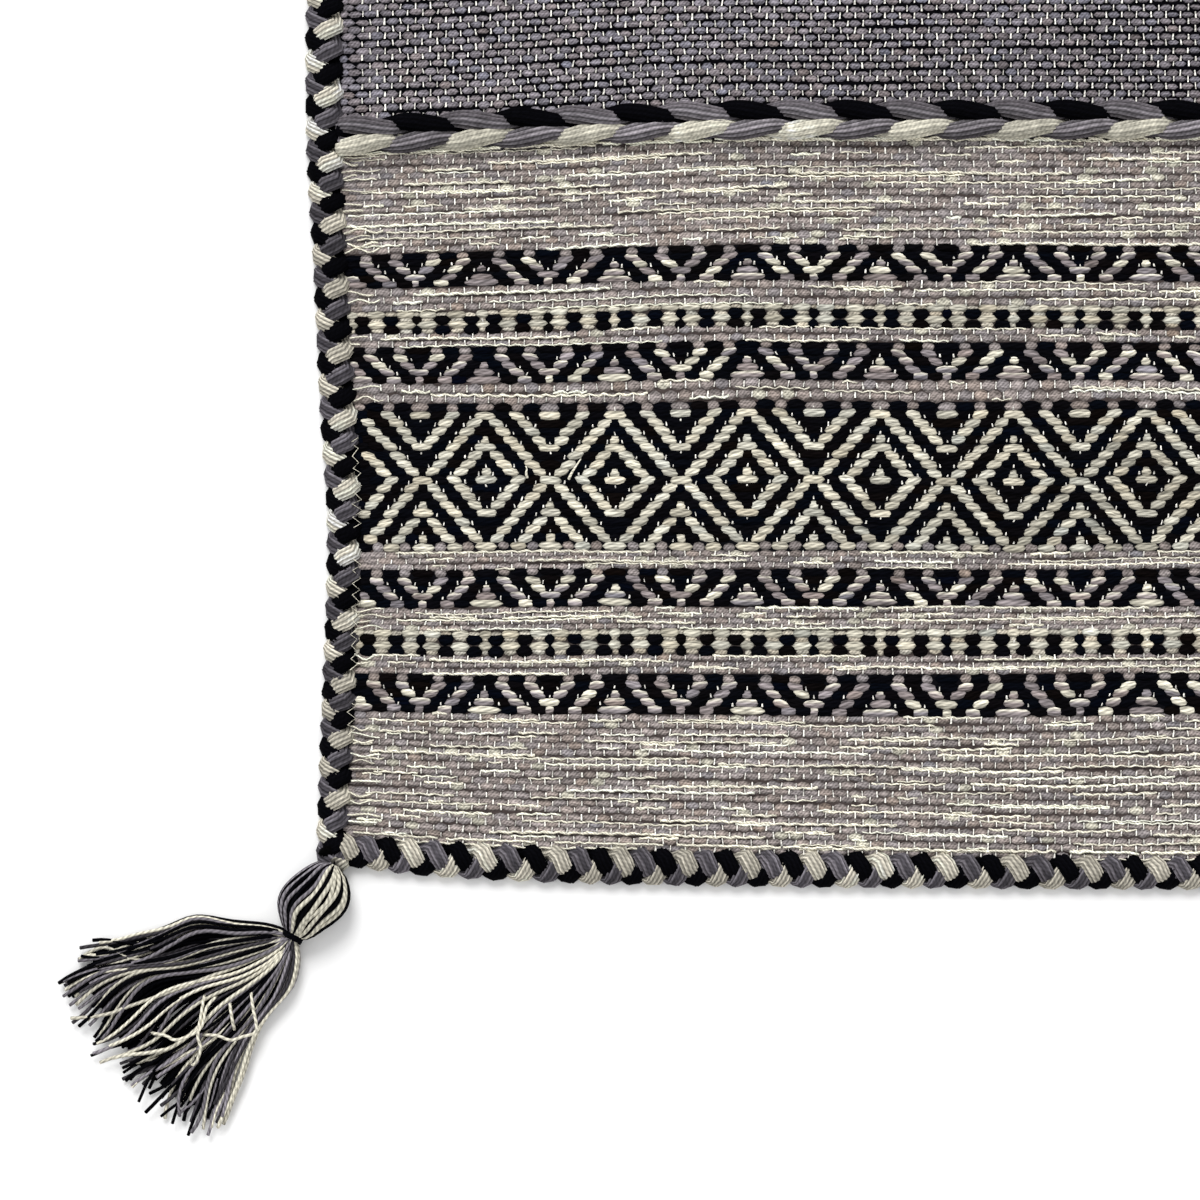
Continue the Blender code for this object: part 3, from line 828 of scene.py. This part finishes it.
STRAYS = (  # strands that lie loose across the others, from the neck in mm
    ((-14.5, -16.9), (-13.5, -23.8), (-12.4, -32), (-17, -33.8), (-21, -35), (-25.5, -33.5), (-31, -33.5)),
    ((-48, -33), (-43, -33.5), (-40, -35), (-36, -34), (-31, -31), (-29, -24), (-25.5, -20)),
    ((-30, -20), (-31, -27), (-32, -34), (-31, -37.6), (-33, -43), (-35, -44)),
    ((-21.4, -22.4), (-20.4, -28), (-19.7, -32)),
)
SKIRT_STRANDS = 150
UNDER_STRANDS = 26
UNDER_REACH = 0.86
TOP_STRANDS = 56
TOP_STRIDE = 23  # from one of the uppermost strands to the next, so that neighbours lie at other heights
TOP_COLOURS = (3, 0, 2, 3, 0, 1, 3, 2, 0)  # the uppermost strands, from one flank to the other
NEAR_RINGS, OTHER_RINGS = 26, 17  # along a strand of the near left skirt and of the others
HEAD_LOPSIDED = 1.0
HEAD_LOOSE = 1.2  # how wide the head's yarns lie, against the part's solid head
HEAD_YARNS = 36
HEAD_NECK = 2.2  # the head's half width where it is tied
SKIRT_UNDER = (0.5, 0.24, 0.16, 0.1)  # shares of black, dark grey, mid grey and cream
SKIRT_OVER = (0.38, 0.1, 0.25, 0.27)
SKIRT_FLANK = (0.18, 0.12, 0.32, 0.38)
TASSEL_CREAM = (230, 225, 207)
SKIRT_COLOURS = (BLACK, DARK_GREY, MID_GREY, TASSEL_CREAM)
TIE_TURNS, TIE_LENGTH, TIE_RADIUS, THREAD_RADIUS = 4, 2.2, 3.3, 0.5


def smooth_path(points, count):
    """A smooth curve through a few points, read at even steps: Catmull-Rom."""
    points = np.asarray(points, float)
    run = np.concatenate([[0], np.cumsum(np.linalg.norm(np.diff(points, axis=0), axis=1))])
    at = np.linspace(0, run[-1], count)
    table = np.column_stack([run, points])
    return np.stack([through(table, k + 1, at) for k in range(points.shape[1])], axis=1)


def beside(path, side, aside, up):
    """A path moved aside and up, by a distance of its own at each point."""
    return path + side * aside[:, None] + UPWARDS * up[:, None]


def build_tassel(row, finish):
    name, side_x, side_y, head_degrees, skirt_degrees, width, length = row
    head_way = math.radians(head_degrees)
    corner_x, corner_y = laid(np.array([side_x * HALF_W]), np.array([side_y * HALF_L]))
    top = np.array([corner_x[0] + side_x * HEAD_OFF_X, corner_y[0] + side_y * HEAD_OFF_Y, HEAD_CENTRE_Z])
    ray = np.array([math.cos(head_way), math.sin(head_way), 0.0])
    side = np.array([-ray[1], ray[0], 0.0])
    neck = top + ray * (HEAD_LENGTH + TIE_FROM_HEAD)
    neck[2] = NECK_Z
    mirror = -side_x * side_y
    rings = NEAR_RINGS if name == "near_left" else OTHER_RINGS
    tubes = Tubes()
    add_head(tubes, top, neck, side, mirror)
    add_skirt(tubes, neck, (skirt_degrees, length, width, -mirror), rings)
    tubes.piece(f"tassel_{name}_yarn", finish, "tassel", [f"tassel_{name}"])
    build_tie(name, neck, ray, side, finish)


def add_head(tubes, top, neck, side, mirror):
    """Yarns gathered over a black core, from the corner to the neck: grey and black ones on one flank,
    cream ones on the other."""
    t = np.linspace(0.0, 1.0, 16)
    bulge = np.sin(math.pi * t**0.92) ** 0.62
    thin = HEAD_NECK + (HEAD_WIDTH / 2 * HEAD_LOOSE - HEAD_NECK) * bulge
    lopsided = -mirror * HEAD_LOPSIDED * np.sin(math.tau * t) * np.minimum(1, 4 * (1 - t))
    axis = top + (neck - top) * t[:, None] + side * lopsided[:, None]
    core = thin - 1.6
    tubes.add(axis, UPWARDS, core, core * HEAD_HEIGHT / HEAD_WIDTH, round_profile(16), BLACK)
    for number in range(HEAD_YARNS):
        turn = math.tau * number / HEAD_YARNS
        flank = -math.cos(turn) * mirror
        own = thin - 0.75 + random.uniform(-0.12, 0.12)
        wave = 0.05 * np.sin(t * 9 + random.uniform(0, 6))
        aside = np.cos(turn + wave) * own
        up = np.sin(turn + wave) * own * HEAD_HEIGHT / HEAD_WIDTH
        if flank < -0.25:
            colour = (BLACK, MID_GREY)[number % 2]
        elif abs(flank) > 0.93 or number % 4 == 1:
            colour = BLACK
        else:
            colour = TASSEL_CREAM
        outward = side * math.cos(turn) + np.array([0, 0, math.sin(turn)])
        thick = 0.78 if colour == TASSEL_CREAM else 0.64
        path = beside(axis, side, aside, up)
        tubes.add(path, outward, thick, 0.66, round_profile(6), yarn_tint(colour, 0.8, 1.0))


def skirt_laid(points, degrees, length, width, mirror):
    """Points of the skirt in the photograph, brought to a skirt with a way, length and width of its own."""
    base, turn = math.radians(GUIDE_DEGREES), math.radians(degrees)
    points = np.array(points, float)
    ahead = points @ np.array([math.cos(base), math.sin(base)]) * length / GUIDE_LENGTH
    aside = points @ np.array([-math.sin(base), math.cos(base)]) * mirror * width / GUIDE_WIDTH
    cos, sin = math.cos(turn), math.sin(turn)
    return np.stack([cos * ahead - sin * aside, sin * ahead + cos * aside], axis=-1)


def strand_path(smooth, lane, reach, under):
    """A strand's path on the floor from the neck, in its lane between the guides, with its own swerves."""
    lanes = len(smooth) - 1
    drift = random.normal(0, 0.05) * np.sin(reach * random.uniform(2, 7) + random.uniform(0, 6))
    place = np.clip(lane + (0 if under else drift) * reach, 0, 1) * lanes
    low = np.minimum(place.astype(int), lanes - 1)
    share = (place - low)[:, None]
    at = np.minimum((reach * (GUIDE_STEPS - 1)).round().astype(int), GUIDE_STEPS - 1)
    path = smooth[low, at] * (1 - share) + smooth[low + 1, at] * share
    swerve = np.sin(reach * random.uniform(6, 15) + random.uniform(0, 6)) * random.uniform(0.2, 1.0)
    swerve = (swerve + 1.9 * np.sin(reach * 10 + lane * 13)) * reach
    flow = np.gradient(path, axis=0)
    flow /= np.linalg.norm(flow, axis=1)[:, None]
    return path + np.stack([-flow[:, 1], flow[:, 0]], axis=1) * swerve[:, None]


def add_skirt(tubes, neck, skirt_way, rings):
    """Strands that leave the neck together and lie over each other on the floor."""
    guides = skirt_laid(SKIRT_GUIDES, *skirt_way)
    smooth = np.stack([smooth_path(guide, GUIDE_STEPS) for guide in guides])
    for number in range(SKIRT_STRANDS):
        layer = number / SKIRT_STRANDS
        under = number < UNDER_STRANDS
        top = number - (SKIRT_STRANDS - TOP_STRANDS)
        lane = 0.03 + 0.9 * number / (UNDER_STRANDS - 1) if under else random.uniform(0.0, 1.0)
        if top >= 0:
            order = top * TOP_STRIDE % TOP_STRANDS
            lane = min(1.0, (order + 0.6 * lane) / TOP_STRANDS)
        reach = np.linspace(0, UNDER_REACH if under else random.uniform(0.84, 1.0), rings)
        path = strand_path(smooth, lane, reach, under)
        bundle = np.minimum(1, reach * 9)
        stack = 0.75 + 6.8 * layer * (1 - 0.6 * reach) * np.minimum(1, reach * 7 + 0.25)
        stack = stack * bundle + (NECK_Z + random.uniform(-1.8, 1.8)) * (1 - bundle)
        stack = stack + 0.35 * np.sin(reach * 14 + random.uniform(0, 6)) * reach
        points = np.column_stack([path + neck[:2], np.maximum(stack, 0.7)])
        shares = SKIRT_FLANK if lane > 0.9 else SKIRT_UNDER if layer < 0.38 else SKIRT_OVER
        pick = 0 if under else random.choice(4, p=shares)
        if top >= 0 and lane < 0.9:
            pick = TOP_COLOURS[order % len(TOP_COLOURS)]
        colour = yarn_tint(SKIRT_COLOURS[pick], 0.8, 1.08)
        wide = 1.5 if under else random.uniform(0.5, 0.66)
        tubes.add(points, UPWARDS, wide, 0.55, round_profile(4), colour)
    for stray in STRAYS:
        path = smooth_path(skirt_laid(stray, *skirt_way), 22)
        up = 2.6 + 5.2 * np.sin(np.linspace(0, math.pi, len(path))) ** 0.35
        points = np.column_stack([path + neck[:2], up])
        tubes.add(points, UPWARDS, 0.56, 0.54, round_profile(5), TASSEL_CREAM)


def build_tie(name, neck, ray, side, finish):
    """Black thread wound round the neck."""
    tubes = Tubes()
    t = np.linspace(0, TIE_TURNS * math.tau, TIE_TURNS * 18)
    along = (t / (TIE_TURNS * math.tau) - 0.5) * TIE_LENGTH
    radius = TIE_RADIUS + 0.12 * np.sin(t * 0.5)
    path = beside(neck + ray * along[:, None], side, np.cos(t) * radius, np.sin(t) * radius)
    outward = beside(0, side, np.cos(t), np.sin(t))
    tubes.add(path, outward, THREAD_RADIUS, THREAD_RADIUS, round_profile(6), BLACK)
    tubes.piece(f"tie_{name}_thread", finish, "tassel_tie", [f"tie_{name}"])


# Pale yarns that run with the wefts of the light ground

PALE_PROFILE = np.array([(1.0, -0.4), (0.0, 1.0), (-1.0, -0.4)])
SEAM_STITCHES = ((-402, -388), (-379, -341), (-331, -299))  # along Y, where the sewing thread shows
STITCH_STEP = 2.1
LOOSE_ENDS = (  # threads that stick out of the diamonds, on the floor in mm
    ((-216.8, -313.9, 4.0), (-216.0, -312.2, 5.3), (-214.4, -309.6, 6.2), (-212.7, -307.2, 6.6)),
    ((-230.9, -313.4, 4.0), (-231.2, -311.9, 5.0), (-231.0, -310.4, 5.4), (-231.4, -309.6, 5.5)),
)
LOOSE_RINGS = 9
FRAYED_LINES = (HALF_L - 2.2, BRAID_Y + 6.0, BRAID_Y + 6.5)  # from the cloth's middle


def pale_tube(tubes, x, y, up, wide):
    """A pale thread over points of the evenly woven cloth."""
    lx, ly = laid(x, y)
    path = np.column_stack([lx, ly, up + 0 * y])
    tubes.add(path, UPWARDS, wide, 0.3, PALE_PROFILE, yarn_tint(PALE, 0.92, 1.08, 0, 253))


def add_arcs(tubes, row, number, step):
    """A light row shows its pale yarn here and there, as arcs over the beads."""
    at = random.uniform(-HALF_W, -HALF_W + 30)
    while at < HALF_W - 8:
        short = random.random() < 0.5
        long = random.uniform(5, 18) if short else random.uniform(25, 95)
        stop = min(at + long, HALF_W - 1.0)
        places = np.arange(at, stop, step)
        if len(places) > 3:
            side = random.choice([-1, 1])
            arc = np.cos(math.tau * (places + HALF_W) / (2 * WARP_PITCH) + math.pi * (number % 2))
            y = row_wander(places, row.y) + side * (0.34 + 0.11 * arc) * row.pitch
            y = y + 0.18 * np.sin(places / 11 + number) + random.normal(0, 0.035, len(places))
            wide = random.uniform(0.26, 0.52) * (1 + 0.25 * np.sin(places * 0.9 + number))
            pale_tube(tubes, places, y, 3.8 - 0.15 * arc, wide)
        at = stop + random.uniform(3, 42)


def add_side_threads(tubes, row):
    """At the cloth's sides some of a light row's pale threads bend up or down."""
    for side in (-1, 1):
        if random.random() < 0.45:
            continue
        inside = np.linspace(0.2, random.uniform(3, 14), 7)
        rise = random.uniform(-0.9, 0.9)
        x = side * (HALF_W - inside)
        y = row_wander(x, row.y) + rise * np.cos(inside * random.uniform(0.3, 0.8))
        pale_tube(tubes, x, y, 4.2, random.uniform(0.22, 0.42))


def add_frayed_line(tubes, line, end, step):
    """Short threads one after another across the cloth."""
    at = -HALF_W + 3
    while at < HALF_W - 4:
        places = np.arange(at, min(at + random.uniform(8, 40), HALF_W - 3), step)
        y = end * (line + random.normal(0, 0.2, len(places)))
        if len(places) > 2:
            pale_tube(tubes, places, y, 4.5, random.uniform(0.35, 0.55))
        at = at + len(places) * step + random.uniform(-2, 6)


def add_sewing(tubes):
    """The thread that sews the left plait on, where it shows, and two loose ends."""
    for start, stop in SEAM_STITCHES:
        y = np.arange(start, stop, STITCH_STEP)
        into_cloth = np.arange(len(y)) % 2 == 1
        x = -HALF_W + np.where(into_cloth, 1.5, -1.1) + random.normal(0, 0.3, len(y))
        lx, ly = laid(np.maximum(x, -HALF_W), y)
        ly = ly + random.normal(0, 0.3, len(y))
        path = np.column_stack([lx + np.minimum(x + HALF_W, 0), ly, np.where(into_cloth, 4.4, 6.2)])
        tubes.add(path, UPWARDS, 0.17, 0.17, PALE_PROFILE, PALE)
    taper = 0.55 * np.linspace(1, 0.35, LOOSE_RINGS)
    for thread in LOOSE_ENDS:
        tubes.add(smooth_path(thread, LOOSE_RINGS), UPWARDS, taper, taper, round_profile(5), PALE)


def build_pale_lines(name, rows, step, end, finish):
    """The pale yarns of the light rows, and the threads that fray along the cloth's end and its braid."""
    tubes = Tubes()
    for number, row in enumerate(rows):
        if row.weave == "light":
            add_arcs(tubes, row, number, step)
            add_side_threads(tubes, row)
    for line in FRAYED_LINES:
        add_frayed_line(tubes, line, end, step)
    if end < 0:
        add_sewing(tubes)
    return tubes.piece(name, finish, "cloth")


# The sheet under the beads

SHEET_LOW, SHEET_TOP = 0.2, 3.0
SHEET_PAINTED_SHADES = {"light": (70, 62, 60), "dots": (60, 54, 52)}  # painted shade between the beads, partly the yarn's own dark: other bands are darker
# Painted shade under the charted bands and the field, partly their black and dark yarn.
BAND_PAINTED_SHADE, FIELD_PAINTED_SHADE = (12, 12, 16), (6, 6, 9)
SHEET_STEP = 12  # about how far apart its points lie along Y
SHEET_COLUMNS = 36


def triples(*sets):
    """Triangles from sets of three corners, each corner as one array."""
    return np.concatenate([np.stack(corners, -1).reshape(-1, 3) for corners in sets])


def sheet_rows():
    """Where the sheet's points lie along Y, and how dark each row of them is, as painted shade between the
    beads: each band has its own.
    """
    bands, low = [], -HALF_L
    for weave, _, depth in BANDS:
        bands.append((low, low + depth, SHEET_PAINTED_SHADES.get(weave, BAND_PAINTED_SHADE)))
        low += depth
    bands += [(low, -low, FIELD_PAINTED_SHADE)] + [(-b, -a, painted_shade) for a, b, painted_shade in reversed(bands)]
    ys, painted_shades = [], []
    for low, high, painted_shade in bands:
        steps = max(1, round((high - low) / SHEET_STEP))
        for k in range(steps + 1):
            ys.append(low + 0.15 + (high - low - 0.3) * k / steps)
            painted_shades.append(painted_shade)
    ys[0], ys[-1] = -HALF_L, HALF_L
    return np.array(ys), np.array(painted_shades, float)


def build_sheet(finish):
    """The cloth's body: a thin closed slab with the cloth's own outline. Its top is painted shade for the
    gaps between the beads, partly the yarn's own dark: lighter under the light rows, near black elsewhere.
    """
    ys, painted_shades = sheet_rows()
    gx, gy = np.meshgrid(np.linspace(-HALF_W, HALF_W, SHEET_COLUMNS), ys)
    lx, ly = laid(gx, gy)
    layers = [np.stack([lx, ly, np.full_like(lx, z)], axis=2).reshape(-1, 3) for z in (SHEET_TOP, SHEET_LOW)]
    index = np.arange(gx.size).reshape(gx.shape)
    a, b, c, d = index[:-1, :-1], index[:-1, 1:], index[1:, 1:], index[1:, :-1]
    upper = triples((a, b, c), (a, c, d))
    rim = np.concatenate([index[0], index[1:, -1], index[-1, -2::-1], index[-2:0:-1, 0]])
    after = np.roll(rim, -1)
    walls = triples((rim, rim + gx.size, after + gx.size), (rim, after + gx.size, after))
    triangles = np.concatenate([upper, upper[:, ::-1] + gx.size, walls])
    top_painted_shade = np.repeat(painted_shades, SHEET_COLUMNS, axis=0)
    under = np.where(top_painted_shade[:, :1] > 40, np.array(LIGHT_GROUND), np.array(FIELD)) * 0.6
    yarn = np.tile(np.stack([gx.ravel(), gy.ravel()], -1), (2, 1))[triangles.ravel()]
    bake = (yarn + [HALF_W, HALF_L]) / [2 * HALF_W, 2 * HALF_L] * [0.47, 0.96] + [0.01, 0.02]
    bake[upper.size :, 0] += 0.49
    start = np.arange(len(rim))[:, None] / len(rim)
    strip = [
        np.stack([start * 0 + down, start + np.array(ahead) / len(rim)], -1).reshape(-1, 2)
        for ahead, down in (((0, 0, 1), (0, 1, 1)), ((0, 1, 1), (0, 1, 0)))
    ]
    bake[2 * upper.size :] = [0.975, 0.01] + np.concatenate(strip) * [0.02, 0.98]
    points, tints = np.concatenate(layers), np.concatenate([top_painted_shade, under])
    return new_piece("cloth_sheet", points, triangles, tints, yarn, bake, finish, ["cloth"])


# Finishes

RELIEF = 0.4


def wired(tree, kind, inputs=None, **values):
    """A new node's outputs. Its inputs are set, or linked where they are given another node's output."""
    made = tree.nodes.new(kind)
    for key, value in values.items():
        setattr(made, key, value)
    for key, value in (inputs or {}).items():
        if isinstance(value, bpy.types.NodeSocket):
            tree.links.new(value, made.inputs[key])
        else:
            made.inputs[key].default_value = value
    return made.outputs


def plain_finish(name, **inputs):
    """A material and its shader's inputs, some of them set."""
    finish = bpy.data.materials.new(name)
    finish.use_nodes = True
    sockets = finish.node_tree.nodes["Principled BSDF"].inputs
    for key, value in inputs.items():
        sockets[key.replace("_", " ")].default_value = value
    return finish, sockets


def yarn_finish(name, stretch, depth, low, high, ply=None, bump=0.25):
    """Cotton yarn. Its colour is the piece's tint, streaked along the yarn by noise stretched to fit, and
    crossed by the slanting grooves of its plies: ply is their pitch, slant and depth. Both stand out as
    relief too, and the colour is darker where the relief is low: painted shade, partly the fibres' own tone."""
    finish, shader = plain_finish(name, Roughness=0.88, Specular_IOR_Level=0.02)
    tree = finish.node_tree

    def maths(operation, *terms):
        return wired(tree, "ShaderNodeMath", dict(enumerate(terms)), operation=operation)[0]

    place = wired(tree, "ShaderNodeUVMap", uv_map="yarn")["UV"]
    scaled = wired(tree, "ShaderNodeMapping", {"Vector": place, "Scale": (*stretch, 1)})["Vector"]
    streaks = {"Vector": scaled, "Scale": 1.0, "Detail": 2.0}
    height = wired(tree, "ShaderNodeTexNoise", streaks, noise_dimensions="2D")["Fac"]
    if ply:
        pitch, slant, deep = ply
        apart = wired(tree, "ShaderNodeSeparateXYZ", {"Vector": place})
        along = maths("MULTIPLY", apart["X"], math.tau / pitch)
        across = maths("MULTIPLY_ADD", apart["Y"], slant, along)
        height = maths("MULTIPLY_ADD", maths("SINE", across), deep, height)
    # Painted shade, partly the fibres' own tone: the colour follows the relief's height, darker in its
    # grooves and low streaks.
    span = {"From Min": 0.5 - depth, "From Max": 0.5 + depth, "To Min": low, "To Max": high}
    level = wired(tree, "ShaderNodeMapRange", {"Value": height, **span})["Result"]
    tint = wired(tree, "ShaderNodeAttribute", attribute_name="tint")["Color"]
    both = {"Factor": 1.0, "A": tint, "B": level}
    colour = wired(tree, "ShaderNodeMix", both, data_type="RGBA", blend_type="MULTIPLY")["Result"]
    rough = {"Strength": bump, "Distance": RELIEF * MM, "Height": height}
    tree.links.new(colour, shader["Base Color"])
    tree.links.new(wired(tree, "ShaderNodeBump", rough)["Normal"], shader["Normal"])
    return finish


# Stage, light and camera

VIEW_X, VIEW_Y = -206.3, -354.8
VIEW_WIDTH = 405.6
VIEW_HEIGHT = 1500.0
VIEWED_HEIGHT = 4  # of the cloth, where the view is as wide as VIEW_WIDTH
SENSOR = 36.0
FLOOR_HALF, FLOOR_Z = 6.0, -0.0002  # in metres
SKY_STRENGTH = 0.8
SUN_STRENGTH, SUN_DEGREES, SUN_TURN = 2.5, 30, (-46, -14, 0)


def build_stage():
    mesh = bpy.data.meshes.new("floor")
    corners = [(FLOOR_HALF * x, FLOOR_HALF * y, 0) for x, y in ((-1, -1), (1, -1), (1, 1), (-1, 1))]
    mesh.from_pydata(corners, [], [(0, 1, 2, 3)])
    mesh.materials.append(plain_finish("floor", Base_Color=(0.9, 0.9, 0.9, 1), Roughness=0.8)[0])
    floor = placed("floor", mesh)
    floor.location.z = FLOOR_Z

    world = bpy.data.worlds.new("soft room")
    world.use_nodes = True
    sky = world.node_tree.nodes["Background"].inputs
    sky["Color"].default_value = (1, 1, 1, 1)
    sky["Strength"].default_value = SKY_STRENGTH

    sun = bpy.data.lights.new("window", "SUN")
    sun.energy = SUN_STRENGTH
    sun.angle = math.radians(SUN_DEGREES)
    placed("window", sun).rotation_euler = [math.radians(turn) for turn in SUN_TURN]

    lens = bpy.data.cameras.new("camera")
    lens.sensor_width = SENSOR
    lens.lens = SENSOR * VIEW_HEIGHT / VIEW_WIDTH
    lens.clip_end = 50
    camera = placed("camera", lens)
    camera.location = (VIEW_X * MM, VIEW_Y * MM, (VIEW_HEIGHT + VIEWED_HEIGHT) * MM)

    scene = bpy.context.scene
    scene.world, scene.camera = world, camera
    scene.view_settings.view_transform = "Standard"


def build_cloth(weft, body):
    """The sheet and all that is woven on it."""
    near, start = panel_rows(-1)
    far, _ = panel_rows(1)
    middle = field_rows(start)
    panels = (  # name, rows, beads, ticks, which end
        ("near", near, FINE_BEAD, RAISED_TICK, -1),
        ("field", middle, PLAIN_BEAD, FLAT_TICK, 1),
        ("far", far, PLAIN_BEAD, FLAT_TICK, 1),
    )
    sheet = build_sheet(body)
    woven = [build_beads(f"weave_{name}", rows, bead, weft, end) for name, rows, bead, _, end in panels]
    woven += [build_ticks(f"warps_{name}", rows, tick, weft, end) for name, rows, _, tick, end in panels]
    woven.append(build_pale_lines("pale_wefts_near", near, 5 / 3, -1, weft))
    woven.append(build_pale_lines("pale_wefts_far", far, 5 / 2, 1, weft))


def main():
    weft = yarn_finish("weft yarn", (0.5, 1.8), 0.24, 0.4, 1.4, ply=(1.25, -4.0, 0.12), bump=0.6)
    bundle = yarn_finish("bundled yarn", (0.45, 2.0), 0.36, 0.45, 1.35, ply=(1.5, 3.0, 0.1), bump=0.5)
    twisted = yarn_finish("twisted yarn", (0.8, 2.0), 0.5, 0.4, 1.25, ply=(2.4, 2.6, 0.3), bump=0.5)
    body = yarn_finish("cloth body", (0.3, 1.2), 0.3, 0.7, 1.2)

    build_cloth(weft, body)
    sides, ends = HALF_L + PLAIT_BEYOND, HALF_W + END_PLAIT_BEYOND
    build_plait("left", -1, sides, 1.8, LEFT_LOBES, 21.5, SIDE_TABLE, 3, bundle)
    build_plait("near", 1, ends, 1.7, NEAR_LOBES, 22.7, END_TABLE, 3, bundle)
    build_plait("right", 1, sides, 2.2, (12.0,), 21.6, SIDE_TABLE, 4, bundle)
    build_plait("far", -1, ends, 2.2, (30.0,), 22.3, END_TABLE, 4, bundle)
    build_braid("braid_near", -BRAID_Y, 1.9, bundle)
    build_braid("braid_far", BRAID_Y, 3.0, bundle)
    for row in TASSEL_TABLE:
        build_tassel(row, twisted)
    build_stage()


main()
